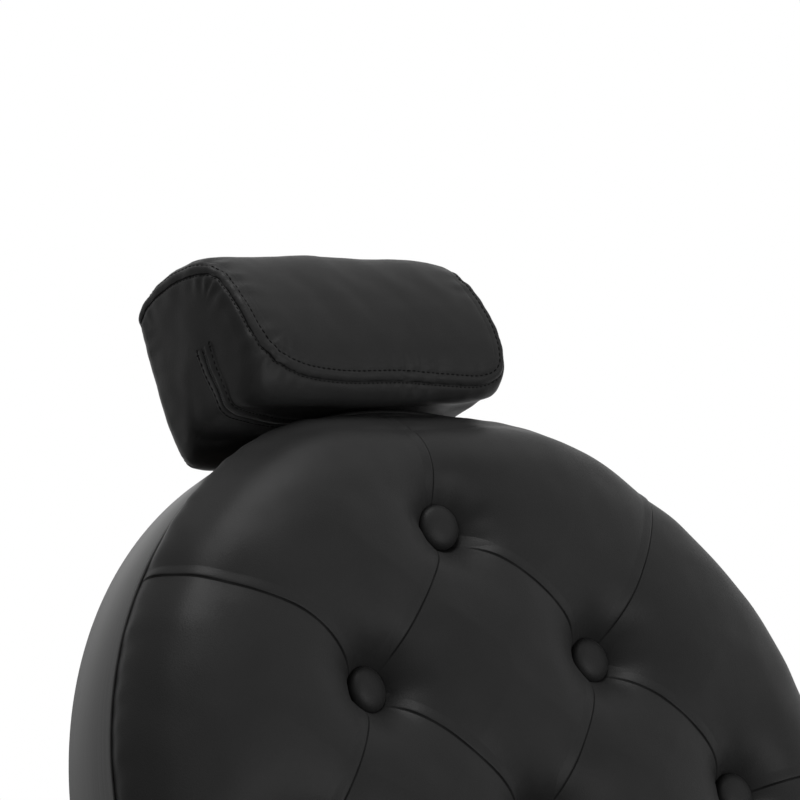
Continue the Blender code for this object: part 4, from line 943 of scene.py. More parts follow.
@dataclass
class TuftedBack:
    """Round diamond-tufted back cushion in its brushed rim."""

    radius: float = 0.280
    rim_wall: float = 0.003
    rim_front: float = 0.002
    rim_rear: float = -0.045
    cells: int = 308
    pit: float = 0.036
    pit_flat: float = 0.0125
    pit_fall: float = 0.0215
    pleat: float = 0.0042
    pleat_ends: float = 0.0100
    pleat_fall: float = 0.021
    fold_rise: float = 0.0009
    fold_width: float = 0.0085
    overhang: float = 0.0036
    dip: float = 0.0107
    dip_place: float = 0.018
    dip_width: float = 0.075
    button_radius: float = 0.0150
    button_seat: float = 0.0335
    button_height: float = 0.0100
    buttons: tuple = (
        (-0.0044, 0.1845),
        (-0.0989, 0.0845),
        (0.0860, 0.0865),
        (-0.1850, -0.0190),
        (-0.0050, -0.0200),
        (0.1730, -0.0150),
        (-0.091, -0.113),
        (0.091, -0.113),
        (0.0, -0.213),
    )
    button_lean: tuple = (
        (-0.04, -0.10), (0.22, -0.06), (0.10, -0.02), (-0.06, 0.05), (0.04, -0.08), (0.05, 0.03), (0.09, 0.06),
        (-0.07, -0.05), (0.03, 0.08),
    )
    diamonds: tuple = (
        (0, 1), (0, 2), (1, 3), (1, 4), (2, 4), (2, 5), (3, 6), (4, 6), (4, 7), (5, 7), (6, 8), (7, 8),
    )
    to_rim: tuple = (
        (0, (-0.0073, 0.2089), (-0.0029, 0.2406), (0.0002, 0.262), (0.003, 0.277)),
        (1, (-0.1195, 0.1055), (-0.1440, 0.1310), (-0.1690, 0.1475), (-0.1915, 0.1605), (-0.2105, 0.1735)),
        (2, (0.136, 0.140), (0.189, 0.203)),
        (3, (-0.230, -0.010), (-0.277, -0.006)),
        (5, (0.230, -0.012), (0.277, -0.012)),
        (6, (-0.140, -0.160), (-0.194, -0.198)),
        (7, (0.140, -0.160), (0.196, -0.196)),
        (8, (0.000, -0.245), (0.000, -0.277)),
    )
    profile: tuple = (
        (0.0, 0.0700), (0.060, 0.0699), (0.120, 0.0692), (0.175, 0.0672), (0.215, 0.0622), (0.243, 0.0535),
        (0.262, 0.0420), (0.2735, 0.0270), (0.2790, 0.0130), (0.2785, 0.0040), (0.2765, -0.0010), (0.2760, -0.0060),
        (0.2760, -0.0290),
    )
    hidden: float = 0.025
    line: np.ndarray = field(init=False)
    length: np.ndarray = field(init=False)
    facing: np.ndarray = field(init=False)

    def __post_init__(self) -> None:
        """Measures the edge profile once."""
        self.line = smooth_run(self.profile, 0.0005)
        steps = np.linalg.norm(np.diff(self.line, axis=0), axis=1)
        self.length = np.concatenate([[0.0], np.cumsum(steps)])
        slope = np.gradient(self.line, axis=0)
        slope /= np.linalg.norm(slope, axis=1)[:, None]
        self.facing = np.stack([-slope[:, 1], slope[:, 0]], axis=1)

    def runs(self) -> list[np.ndarray]:
        """Returns each pleat as a run of points across and up the back."""
        spots = np.array(self.buttons)
        made = [smooth_run([spots[a], spots[b]], 0.004) for a, b in self.diamonds]
        for start, *points in self.to_rim:
            made.append(smooth_run([spots[start], *points], 0.004))
        return made

    @staticmethod
    def beside(plan: np.ndarray, run: np.ndarray) -> tuple[np.ndarray, np.ndarray]:
        """Measures plan points against a pleat.

        Args:
            plan: points across and up the back.
            run: points along the pleat.

        Returns:
            Distance to the pleat and the share along it.
        """
        best = np.full(len(plan), 1.0)
        share = np.zeros(len(plan))
        for i in range(len(run) - 1):
            a, ab = run[i], run[i + 1] - run[i]
            t = np.clip(((plan - a) @ ab) / (ab @ ab), 0.0, 1.0)
            off = plan - a - t[:, None] * ab
            d = np.hypot(off[:, 0], off[:, 1])
            new = d < best
            best[new] = d[new]
            share[new] = (i + t[new]) / (len(run) - 1)
        return best, share

    def sunk(self, plan: np.ndarray) -> np.ndarray:
        """Gives how deep the tufting pulls the face at plan points.

        Args:
            plan: points across and up the back.

        Returns:
            Depth below the plain face.
        """
        edge = np.clip(np.hypot(plan[:, 0], plan[:, 1]) / self.radius, 0.0, 1.0)
        pit = np.zeros(len(plan))
        folds = np.zeros(len(plan))
        for i, (x, z) in enumerate(self.buttons):
            dx, dz = plan[:, 0] - x, plan[:, 1] - z
            d = np.hypot(dx, dz)
            turn = np.arctan2(dz, dx)
            fall = np.maximum(d - self.pit_flat, 0.0) / self.pit_fall
            pit = np.maximum(pit, self.pit * np.exp(-(fall**0.95)))
            gather = np.sin(7.0 * turn + 1.9 * i) + 0.7 * np.sin(5.0 * turn + 2.7 * i)
            folds += 0.0005 * gather * np.exp(-(((d - 0.024) / 0.0100) ** 2))
        pleat = np.zeros(len(plan))
        for k, run in enumerate(self.runs()):
            d, share = self.beside(plan, run)
            inner = k < len(self.diamonds)
            ends = np.exp(-share * 4.2) + (np.exp(-(1.0 - share) * 4.2) if inner else 0.0)
            depth = self.pleat + self.pleat_ends * ends
            if not inner:
                depth = depth * (1.0 - 0.30 * share)
            pleat = np.maximum(pleat, depth * np.exp(-((d / self.pleat_fall) ** 1.25)))
        pleat *= 1.0 - 0.35 * edge**8
        press = np.exp(-(((plan[:, 0] - self.dip_place) / self.dip_width) ** 2))
        press *= np.clip((plan[:, 1] - 0.205) / 0.055, 0.0, 1.0) ** 2
        return (pit**3 + pleat**3) ** (1.0 / 3.0) + folds + self.dip * press

    def surface(self, flat: np.ndarray, lift: Any = 0.0) -> np.ndarray:
        """Puts points of the unrolled skin on the cushion.

        Args:
            flat: points of the skin rolled out flat round its centre.
            lift: height above the skin.

        Returns:
            Places in the chair's frame.
        """
        reach = np.hypot(flat[:, 0], flat[:, 1])
        safe = np.maximum(reach, 1e-9)
        c, s = np.where(reach > 0, flat[:, 0] / safe, 1.0), flat[:, 1] / safe
        r, h = np.interp(reach, self.length, self.line[:, 0]), np.interp(reach, self.length, self.line[:, 1])
        out_r = np.interp(reach, self.length, self.facing[:, 0])
        out_h = np.interp(reach, self.length, self.facing[:, 1])
        r = r + self.overhang * np.clip((s - 0.66) / 0.20, 0.0, 1.0) * np.exp(-(((h - 0.012) / 0.011) ** 2))
        solid = np.stack([r * c, r * s, h], axis=1)
        turn = np.arctan2(s, c)
        tuck = np.sin(turn * 74.0 + 2.0 * np.sin(turn * 9.0)) * np.exp(-(((h - 0.006) / 0.010) ** 2))
        uneven = 0.0010 * ripple(solid, 0.110, 1.3) + 0.0003 * ripple(solid, 0.042, 4.1) + 0.0003 * tuck
        depth = (self.sunk(solid[:, :2]) - uneven) * np.clip((h + 0.001) / 0.012, 0.0, 1.0) - lift
        r, h = r - out_r * depth, h - out_h * depth
        return BACK_CENTRE + (r * c)[:, None] * BACK_ACROSS + (r * s)[:, None] * BACK_UP + h[:, None] * BACK_OUT

    def cushion(self) -> bpy.types.Object:
        """Builds the tufted cushion with its pits, valleys and rolled edge."""
        n = self.cells
        line = np.linspace(-1.0, 1.0, n + 1)
        a, b = (g.ravel() for g in np.meshgrid(line, line))
        wide = np.abs(a) > np.abs(b)
        with np.errstate(divide="ignore", invalid="ignore"):
            reach = np.where(wide, a, b)
            turn = np.where(wide, math.pi / 4 * b / a, math.pi / 2 - math.pi / 4 * a / b)
        turn = np.where((a == 0) & (b == 0), 0.0, turn)
        share = np.abs(reach)
        shown = self.length[-1] - self.hidden
        at = np.where(share < 0.98, share / 0.98 * shown, shown + (share - 0.98) / 0.02 * self.hidden)
        at = at * np.sign(reach)
        points = self.surface(np.stack([at * np.cos(turn), at * np.sin(turn)], axis=1))
        k = np.arange(n * (n + 1)).reshape(n, n + 1)[:, :n].ravel()
        faces = np.stack([k, k + 1, k + n + 2, k + n + 1], axis=1).tolist()
        top = list(range(n + 1))
        right = [n + (n + 1) * i for i in range(1, n + 1)]
        bottom = [n * (n + 1) + i for i in range(n - 1, -1, -1)]
        left = [(n + 1) * i for i in range(n - 1, 0, -1)]
        faces.append((top + right + bottom + left)[::-1])
        made = outward(mesh_object("back_cushion_tufted", points, faces, LEATHER))
        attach(made, Body.BACK.value)
        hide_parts("back_cushion")
        return made

    def unrolled(self, run: np.ndarray, to_rim: bool) -> np.ndarray:
        """Returns a pleat's run on the unrolled skin, carried over the edge if it meets the rim."""
        rising = int(np.argmax(self.line[:, 0]))
        size = np.hypot(run[:, 0], run[:, 1])
        reach = np.interp(size, self.line[:rising, 0], self.length[:rising])
        flat = run * (reach / np.maximum(size, 1e-9))[:, None]
        if to_rim:
            ahead = flat[-1] / np.linalg.norm(flat[-1])
            end = self.length[-1] - self.hidden - 0.006
            more = np.arange(reach[-1] + 0.004, end, 0.003)
            flat = np.vstack([flat, ahead * more[:, None]])
        return smooth_run(flat[::2] if len(flat) > 6 else flat, 0.002)

    def folds(self) -> bpy.types.Object:
        """Builds the sewn-in folds: the upper panel laps over the lower along each pleat, with a thin face under each
        lip painted dark as its shadow gap.
        """
        wide = np.linspace(1.0, 0.06, 12)
        lap = [(self.fold_width * t, math.cos(t * math.pi / 2) ** 2, -0.0001 * t, 0.0) for t in wide]
        # The last value of each row is painted shade: the lip's underside and a thin flat face just above the cushion
        # are darkened as the shadow in the gap under the fold.
        lap += [(0.0003, 0.97, 0.0, 0.0), (-0.0002, 0.86, 0.0, 0.0), (-0.0005, 0.6, 0.0, 0.3), (-0.0005, 0.3, 0.0001, 1.0)]
        lap += [(-0.0009, 0.0, 0.0003, 1.0), (-0.0016, 0.0, 0.0002, 0.8), (-0.0021, 0.0, -0.0004, 0.5)]
        points, faces, dark = [], [], []
        for k, run in enumerate(self.runs()):
            rim = k >= len(self.diamonds)
            flat = self.unrolled(run, rim)
            ahead = np.gradient(flat, axis=0)
            ahead /= np.linalg.norm(ahead, axis=1)[:, None]
            side = np.stack([-ahead[:, 1], ahead[:, 0]], axis=1)
            if np.mean(side[:, 1]) + 0.3 * np.mean(side[:, 0]) * (1 if k != len(self.diamonds) else -1) < 0:
                side = -side
            along = np.linspace(0.0, 1.0, len(flat)) * np.linalg.norm(np.diff(flat, axis=0), axis=1).sum()
            start = np.clip((along - self.button_radius * 0.75) / 0.018, 0.0, 1.0)
            left = along[-1] - along
            end = np.clip((left - (0.0 if rim else self.button_radius * 0.75)) / 0.018, 0.0, 1.0)
            if rim:
                end = np.clip(left / 0.012, 0.25, 1.0)
            rise = self.fold_rise * np.sqrt(np.minimum(start, end)) * (1.0 + 0.12 * np.sin(along * 190.0 + k))
            base, count = len(points), len(flat)
            shown = np.clip(rise / self.fold_rise, 0.0, 1.0)
            for d, share, plus, crease in lap:
                points += list(self.surface(flat + side * d, rise * share + (plus * shown if plus > 0 else plus)))
                dark += list(crease * shown)
            for i in range(len(lap) - 1):
                for j in range(count - 1):
                    p = base + i * count + j
                    faces.append((p, p + 1, p + count + 1, p + count))
            for j in range(count - 1):
                p, q = base + (len(lap) - 1) * count + j, base + j
                faces.append((p, p + 1, q + 1, q))
            for j in (0, count - 1):
                faces.append(tuple(base + i * count + j for i in range(len(lap))))
        made = mesh_object("back_pleat_folds", points, faces, LEATHER)
        set_attribute(made, "crease", np.array(dark))
        edge_split(outward(made), 62.0)
        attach(made, Body.BACK.value)
        return made

    def button_set(self, spots: Repeats) -> bpy.types.Object:
        """Builds the nine covered buttons.

        Args:
            spots: tree that sets a copy at each point.

        Returns:
            The buttons as one piece.
        """
        sides = 48
        rings = [
            (0.35, -0.25), (0.90, -0.12), (0.985, 0.06), (1.0, 0.24), (0.985, 0.42), (0.94, 0.58), (0.86, 0.72),
            (0.74, 0.83), (0.58, 0.92), (0.38, 0.975), (0.16, 1.0),
        ]
        work = []
        for size, rise in rings:
            ring = []
            for k in range(sides):
                a = 2.0 * math.pi * k / sides
                gather = 1.0 + 0.012 * math.sin(12 * a) * max(0.0, 1.0 - rise * 2.2)
                span = self.button_radius * size * gather
                ring.append((span * math.cos(a), span * math.sin(a), rise * self.button_height))
            work.append(np.array(ring))
        shape = loft("button_shape", work)
        places = np.array(
            [BACK_CENTRE + x * BACK_ACROSS + z * BACK_UP + self.button_seat * BACK_OUT for x, z in self.buttons]
        )
        lean = np.array(self.button_lean)
        lift = BACK_OUT + lean[:, :1] * BACK_ACROSS + lean[:, 1:2] * BACK_UP
        made = spots.set_out("back_buttons", SewnPath(places, lift), shape, LEATHER)
        drop(shape)
        made.data.polygons.foreach_set("use_smooth", [True] * len(made.data.polygons))
        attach(made, Body.BACK.value)
        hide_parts(*[f"back_button_{i}" for i in range(1, len(self.buttons) + 1)])
        return made

    def rim(self) -> bpy.types.Object:
        """Builds the brushed rim with softened edges."""
        outer, inner = self.radius, self.radius - self.rim_wall
        low, high, soft = self.rim_rear, self.rim_front, 0.0009
        profile = [
            (inner, low + soft), (inner + soft, low), (outer - soft, low), (outer - 0.3 * soft, low + 0.3 * soft),
            (outer, low + soft), (outer, high - soft), (outer - 0.3 * soft, high - 0.3 * soft),
            (outer - soft, high), (inner + soft, high), (inner, high - soft),
        ]
        made = lathe("back_rim_brushed", profile, RIM, 288)
        mapped_turn(made, self.radius)
        set_in(made, BACK_CENTRE, BACK_ACROSS, BACK_UP, BACK_OUT)
        outward(made)
        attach(made, Body.BACK.value)
        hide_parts("back_band")
        return made

    def build(self, spots: Repeats) -> list[bpy.types.Object]:
        """Builds and dresses the back's front pieces."""
        return [self.cushion(), self.folds(), self.button_set(spots), self.rim()]


@dataclass
class Headrest:
    """Boxed headrest pillow with a topstitched welt and a zip at one end."""

    half_width: float = 0.1025
    shift: float = -0.003
    voxel: float = 0.0026
    ends: tuple = (
        (0.0, 0.985), (0.5, 0.995), (0.86, 1.0), (0.95, 0.988), (0.985, 0.965), (1.015, 0.920), (1.035, 0.82),
        (1.050, 0.55), (1.062, 0.0),
    )
    section: tuple = (
        (0.0125, 0.2768), (0.0225, 0.2775), (0.0315, 0.2900), (0.0365, 0.3145), (0.0292, 0.3510), (0.0090, 0.3845),
        (-0.0220, 0.3935), (-0.0550, 0.3925), (-0.0725, 0.3830), (-0.0765, 0.3580), (-0.0765, 0.3270), (-0.0760, 0.2970),
        (-0.0715, 0.2730), (-0.0620, 0.2670), (-0.0505, 0.2750), (-0.0465, 0.2835), (-0.0290, 0.2848), (-0.0090, 0.2845),
        (0.0030, 0.2820),
    )
    lean: float = 0.036
    crown: float = 0.0022
    tuck: float = 0.0085
    gathers: tuple = (
        ((-0.1025, 0.0170, 0.3670), 0.020), ((-0.0950, 0.0355, 0.3080), 0.016), ((0.0250, 0.0300, 0.2880), 0.018),
        ((0.1035, 0.0170, 0.3670), 0.008),
    )

    def welt(self) -> Welt:
        """Returns the welt round the face, gathered at its corners."""
        places = self.placed([place for place, _ in self.gathers])
        return Welt(pucker=0.0002, pitch=0.0041, gathers=tuple(zip(places, (reach for _, reach in self.gathers))))

    def placed(self, points: Any) -> np.ndarray:
        """Returns points given as across, out and up in the chair's frame."""
        p = np.asarray(points, float) + (self.shift, 0.0, 0.0)
        p[:, 2] -= self.lean * p[:, 0]
        return BACK_CENTRE + p[:, :1] * BACK_ACROSS + p[:, 1:2] * BACK_OUT + p[:, 2:3] * BACK_UP

    def pillow(self) -> bpy.types.Object:
        """Builds the pillow's plump body."""
        outline = smooth_run(self.section, 0.004, True)
        middle = np.array((-0.022, 0.333))
        rings = []
        ends = np.array(self.ends)
        for t in np.linspace(-1.0, 1.0, 81):
            share = math.sin(abs(t) * math.pi / 2) * ends[-1, 0]
            size = float(np.interp(share, ends[:, 0], ends[:, 1]))
            ring = middle + (outline - middle) * max(size, 0.02)
            tucked = np.clip((0.300 - ring[:, 1]) / 0.02, 0.0, 1.0) * np.clip((ring[:, 0] + 0.01) / 0.03, 0.0, 1.0)
            ring[:, 1] += self.tuck * share**2 * tucked * (1.0 if t > 0 else 0.3)
            ring[:, 1] += self.crown * (1.0 - 2.2 * share**2) * np.clip((ring[:, 1] - 0.34) / 0.05, 0.0, 1.0)
            across = np.full((len(ring), 1), math.copysign(share, t) * self.half_width)
            rings.append(self.placed(np.hstack([across, ring])))
        made = loft("headrest_pillow", rings)
        Padding(self.voxel, 2).fill(made)
        made.data.materials.clear()
        made.data.materials.append(LEATHER.material())
        return made

    def face_loop(self) -> np.ndarray:
        """Returns guide points of the welt round the face panel."""
        left = [
            (-0.1040, -0.0715, 0.3725), (-0.1053, -0.0541, 0.3802), (-0.1057, -0.0233, 0.3806), (-0.1058, -0.0084, 0.3782),
            (-0.1052, 0.0048, 0.3744), (-0.1031, 0.0148, 0.3696), (-0.1014, 0.0208, 0.3623), (-0.1010, 0.0307, 0.3385),
            (-0.1000, 0.0339, 0.3239), (-0.0970, 0.0355, 0.3121),
        ]
        front = [
            (-0.0908, 0.0352, 0.3028), (-0.0803, 0.0338, 0.2968), (-0.0657, 0.0321, 0.2921), (-0.0471, 0.0308, 0.2896),
            (-0.0280, 0.0301, 0.2886), (-0.0063, 0.0299, 0.2889), (0.0154, 0.0300, 0.2888), (0.0371, 0.0296, 0.2872),
            (0.0593, 0.0291, 0.2857), (0.0791, 0.0289, 0.2849), (0.0930, 0.0300, 0.2885), (0.1000, 0.0320, 0.2960),
        ]
        right = [(max(-x, 0.1035), h, v) for x, h, v in reversed(left)]
        rear = [(0.06, -0.0765, 0.366), (0.0, -0.0765, 0.366), (-0.06, -0.0765, 0.366)]
        return self.placed(left + front + right + rear)

    def end_edge(self, sign: float) -> np.ndarray:
        """Returns guide points of the rear edge seam at one end."""
        x = sign * self.half_width
        return self.placed([(x, -0.0755, 0.366), (x, -0.0765, 0.330), (x, -0.0755, 0.296), (x, -0.0705, 0.274)])

    def zip_line(self) -> np.ndarray:
        """Returns guide points of the zip on the end panel and the underside."""
        return self.placed(
            [
                (-0.1083, -0.0068, 0.3275), (-0.1079, -0.0060, 0.3112), (-0.1063, -0.0038, 0.2941), (-0.0980, -0.0085, 0.2872),
                (-0.0866, -0.0155, 0.2848), (-0.0487, -0.0300, 0.2850), (-0.0100, -0.0330, 0.2840), (0.0500, -0.0330, 0.2840),
            ]
        )

    def build(self, rows: Repeats) -> list[bpy.types.Object]:
        """Builds the pillow, its welt, stitches and zip.

        Args:
            rows: tree that sets copies along a path.

        Returns:
            The pieces of the headrest.
        """
        pillow = self.pillow()
        self.soften(pillow)
        loop = Seam(pillow, self.face_loop(), True)
        edges = [Seam(pillow, self.end_edge(sign)) for sign in (-1.0, 1.0)]
        zipper = Seam(pillow, self.zip_line())
        front = int(np.argmin(loop.points @ np.array((0.0, 1.0, 0.4))))
        inward = 1.0 if np.dot(loop.side[front], BACK_UP) > 0 else -1.0
        welt = self.welt()
        welt.press(pillow, loop, inward)
        for seam in edges:
            Welt(0.004, 0.0012, pucker=0.0002).press(pillow, seam)
        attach(pillow, Body.HEADREST.value)
        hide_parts("headrest_pad")
        skin = skin_of(pillow)
        pieces = welt.dress("headrest", pillow, loop, rows, inward)
        pieces.append(self.row("headrest_seam_stitches", loop.shifted(skin, -0.0016 * inward, -0.0001), rows, 0.0036))
        for seam, name in zip(edges, ("right", "left")):
            pieces.append(self.row(f"headrest_edge_stitches_{name}", seam.shifted(skin, 0.0, 0.0001), rows, 0.0042))
        pieces += self.zipped(zipper, skin, rows)
        for piece in pieces:
            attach(piece, Body.HEADREST.value)
        return [pillow] + pieces

    def row(self, name: str, path: SewnPath, rows: Repeats, pitch: float) -> bpy.types.Object:
        """Makes one plain row of stitches along a path."""
        shape = capsule(name + "_shape", 0.70 * pitch, 0.0010, 0.0005)
        made = rows.set_out(name, path, shape, THREAD, pitch)
        drop(shape)
        return made

    def zipped(self, zipper: Seam, skin: BVHTree, rows: Repeats) -> list[bpy.types.Object]:
        """Makes the zip: tape, two folded lips, their stitches and the coil.

        Args:
            zipper: line of the zip on the pillow.
            skin: the pillow's finished surface.
            rows: tree that sets copies along a path.

        Returns:
            The pieces of the zip.
        """
        tape = [(-0.0030, -0.0004), (-0.0026, 0.00030), (0.0026, 0.00030), (0.0030, -0.0004)]
        made = [zipper.ribbon("headrest_zip_tape", skin, tape, ZIP_TAPE, 1.0)]
        lip = [
            (0.0023, -0.0002), (0.0014, 0.0003), (0.0013, 0.0008), (0.0017, 0.0012), (0.0027, 0.0013), (0.0045, 0.0011),
            (0.0058, 0.0006), (0.0065, 0.00055), (0.0072, 0.0007), (0.0078, 0.0005), (0.0080, -0.0003),
        ]
        for side, name in ((1.0, "front"), (-1.0, "rear")):
            made.append(zipper.ribbon(f"headrest_zip_lip_{name}", skin, lip, LEATHER, side, 0.10))
            path = zipper.shifted(skin, side * 0.0062, 0.0006)
            made.append(self.row(f"headrest_zip_stitches_{name}", path, rows, 0.0044))
        end = zipper.points[2]
        cross = np.array([end + zipper.side[2] * d for d in np.linspace(-0.0066, 0.0066, 9)])
        path = SewnPath(cross + zipper.lift[2] * 0.0009, np.tile(zipper.lift[2], (9, 1)))
        made.append(self.row("headrest_zip_end_stitches", path, rows, 0.0034))
        shape = capsule("zip_tooth_shape", 0.0008, 0.0030, 0.0006)
        coil = SewnPath(zipper.points[4:] + zipper.lift[4:] * 0.0005, zipper.lift[4:])
        made.append(rows.set_out("headrest_zip_teeth", coil, shape, ZIP_COIL, 0.0013))
        drop(shape)
        return made

    def soften(self, pillow: bpy.types.Object) -> None:
        """Adds the slack waves of hand-stuffed cloth."""
        points, normals = coords_of(pillow), normals_of(pillow)
        move = 0.0011 * ripple(points, 0.080, 2.2) + 0.00025 * ripple(points, 0.030, 0.7)
        set_coords(pillow, points + normals * move[:, None])


@dataclass
class Pad:
    """A boxed pad with rounded sides, a crowned face and a welt round its face."""

    name: str
    node: str
    body: Body
    half_x: float
    half_y: float
    power: float
    steps: tuple
    crown: float
    origin: np.ndarray
    across: np.ndarray
    along: np.ndarray
    out: np.ndarray
    seam_step: tuple
    padding: Padding = field(default_factory=Padding)
    welt: Welt = field(default_factory=Welt)
    fill: float = 0.8
    sag: float = 0.0

    def placed(self, flat: np.ndarray, height: Any) -> np.ndarray:
        """Returns points of the pad's own plane in the chair's frame."""
        rise = np.broadcast_to(np.asarray(height, float), (len(flat),))[:, None]
        return self.origin + flat[:, :1] * self.across + flat[:, 1:2] * self.along + rise * self.out

    def cushion(self) -> bpy.types.Object:
        """Builds the pad's plump body."""
        count = 96
        rings = []
        for offset, height in smooth_run(self.steps, 0.004):
            flat = oval(self.half_x + offset, self.half_y + offset, self.power, count)
            rings.append(self.placed(flat, height))
        offset, top = self.steps[-1]
        for share in np.linspace(0.92, 0.04, 12):
            flat = oval((self.half_x + offset) * share, (self.half_y + offset) * share, self.power, count)
            bulge = (1.0 - np.abs(flat[:, 0] / (self.half_x + offset)) ** 2.6) * (
                1.0 - np.abs(flat[:, 1] / (self.half_y + offset)) ** 2.6
            )
            rings.append(self.placed(flat, top + self.crown * bulge))
        made = loft(self.name, rings)
        base = self.origin + self.out * self.steps[2][1]
        self.padding.fill(made, np.array([base, self.out]))
        made.data.materials.clear()
        made.data.materials.append(LEATHER.material())
        return made

    def build(self, rows: Repeats) -> list[bpy.types.Object]:
        """Builds the pad, its welt and its stitches.

        Args:
            rows: tree that sets copies along a path.

        Returns:
            The pad's pieces.
        """
        made = self.cushion()
        offset, height = self.seam_step
        guide = self.placed(oval(self.half_x + offset, self.half_y + offset, self.power, 64), height)
        seam = Seam(made, guide, True, 0.0016)
        inward = 1.0 if np.dot(seam.side[0], self.placed(np.zeros((1, 2)), height)[0] - seam.points[0]) > 0 else -1.0
        self.welt.press(made, seam, inward)
        points, normals = coords_of(made), normals_of(made)
        move = 0.0010 * ripple(points, 0.11, 0.6) + 0.0004 * ripple(points, 0.037, 2.9)
        rise = (points - self.origin) @ self.out
        move *= np.clip((rise - self.steps[2][1]) / 0.010, 0.0, 1.0)
        set_coords(made, points + normals * move[:, None])
        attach(made, self.body.value)
        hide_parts(self.node)
        trim = self.welt.dress(self.name, made, seam, rows, inward)
        for piece in trim:
            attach(piece, self.body.value)
        return [made] + trim


X, Y, Z = np.eye(3)


def seat_pad() -> Pad:
    """Returns the seat cushion's sizes."""
    ledge, room = 0.0257, 0.0593
    return Pad(
        "seat_cushion_boxed", "seat_cushion", Body.SEAT, 0.245, 0.220, 7.0,
        (
            (-0.0115, 0.0004), (-0.0040, 0.006), (-0.0035, ledge - 0.004), (0.0010, ledge + 0.003),
            (0.0055, ledge + 0.30 * room), (0.0045, ledge + 0.60 * room), (-0.003, ledge + 0.86 * room),
            (-0.014, ledge + room),
        ),
        0.0175, np.array((0.0, -0.020, 0.4148)), X, Y, Z, (-0.006, ledge + 0.93 * room), Padding(0.0055, 14, 4.0, 0.006),
        Welt(0.0075, 0.0018, 0.0014, 0.0007, 0.019, 0.0042),
    )


def arm_pad(side: str, sign: float) -> Pad:
    """Returns one arm pad's sizes."""
    return Pad(
        f"arm_pad_{side}_cover", f"arm_pad_{side}", Body.SEAT, 0.033, 0.180, 4.0,
        (
            (-0.0045, 0.0003), (-0.0012, 0.004), (0.0, 0.010), (0.0, 0.018), (-0.0008, 0.025), (-0.004, 0.032),
            (-0.011, 0.0365),
        ),
        0.0035, np.array((sign * 0.269, 0.035, 0.6588)), X, Y, Z, (0.0005, 0.014), Padding(0.0032, 4, 4.0, 0.002),
        Welt(0.0055, 0.0012, 0.0009, 0.0003, 0.015, 0.0036),
    )


def calf_pad() -> Pad:
    """Returns the calf pad's sizes."""
    return Pad(
        "calf_pad_boxed", "calf_pad", Body.LEGREST, 0.205, 0.058, 5.0,
        (
            (-0.006, 0.0003), (-0.001, 0.005), (0.0, 0.014), (0.001, 0.022), (-0.001, 0.031), (-0.007, 0.0385),
            (-0.015, 0.0415),
        ),
        0.0045, LEG_PIVOT + LEG_DOWN * 0.086 + LEG_OUT * 0.0153, X, -LEG_DOWN, LEG_OUT, (-0.004, 0.036),
        Padding(0.0040, 4, 4.0, 0.004), Welt(0.0062, 0.0015, 0.0011, 0.0005, 0.017, 0.0038),
    )


@dataclass
class RearPanel:
    """Upholstered panel behind the back, pressed flat under its straps."""

    radius: float = 0.250
    front: float = -0.0456
    depth: float = 0.0192
    bulge: float = 0.006
    welt: Welt = field(default_factory=lambda: Welt(0.0065, 0.0012, 0.0010, 0.0004, 0.018, 0.0040))

    def build(self, rows: Repeats) -> list[bpy.types.Object]:
        """Builds the panel and its stitches.

        Args:
            rows: tree that sets copies along a path.

        Returns:
            The panel's pieces.
        """
        angle = np.linspace(0.0, 2.0 * math.pi, 160, endpoint=False)
        steps = smooth_run(
            ((-0.006, 0.0), (-0.001, 0.003), (0.0, 0.009), (-0.002, 0.0145), (-0.008, self.depth - 0.0006), (-0.020, self.depth)),
            0.003,
        )
        rings = []
        for offset, height in steps:
            r = self.radius + offset
            rings.append(np.stack([r * np.cos(angle), r * np.sin(angle), np.full(160, height)], axis=1))
        for share in np.linspace(0.94, 0.03, 24):
            r = (self.radius - 0.020) * share
            rings.append(np.stack([r * np.cos(angle), r * np.sin(angle), np.full(160, self.depth)], axis=1))
        made = loft("rear_panel_cover", rings)
        Padding(0.0050, 3).fill(made)
        local = coords_of(made)
        strap = np.clip((np.abs(np.abs(local[:, 0]) - 0.140) - 0.024) / 0.030, 0.0, 1.0)
        guide = np.clip(
            np.maximum((np.abs(local[:, 0]) - 0.036) / 0.030, (0.045 - local[:, 1]) / 0.040), 0.0, 1.0
        )
        r = np.hypot(local[:, 0], local[:, 1])
        free = strap**2 * guide**2 * np.clip((self.radius - 0.012 - r) / 0.05, 0.0, 1.0) ** 0.7
        local[:, 2] += self.bulge * free * np.clip(local[:, 2] / self.depth, 0.0, 1.0) ** 4
        set_coords(made, local)
        set_in(made, BACK_CENTRE + BACK_OUT * self.front, BACK_ACROSS, BACK_UP, -BACK_OUT)
        outward(made)
        made.data.materials.clear()
        made.data.materials.append(LEATHER.material())
        ring = np.stack([np.cos(angle), np.sin(angle), np.zeros(160)], axis=1) * (self.radius - 0.010)
        ring[:, 2] = self.depth
        guide_ring = (
            BACK_CENTRE
            + BACK_OUT * (self.front - ring[:, 2:3])
            + ring[:, :1] * BACK_ACROSS
            + ring[:, 1:2] * BACK_UP
        )
        seam = Seam(made, guide_ring[::4], True, 0.0018)
        inward = 1.0 if np.dot(seam.side[0], BACK_CENTRE - seam.points[0]) > 0 else -1.0
        self.welt.press(made, seam, inward)
        trim = self.welt.dress("rear_panel", made, seam, rows, inward)
        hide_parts("rear_panel")
        for piece in [made] + trim:
            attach(piece, Body.BACK.value)
        return [made] + trim


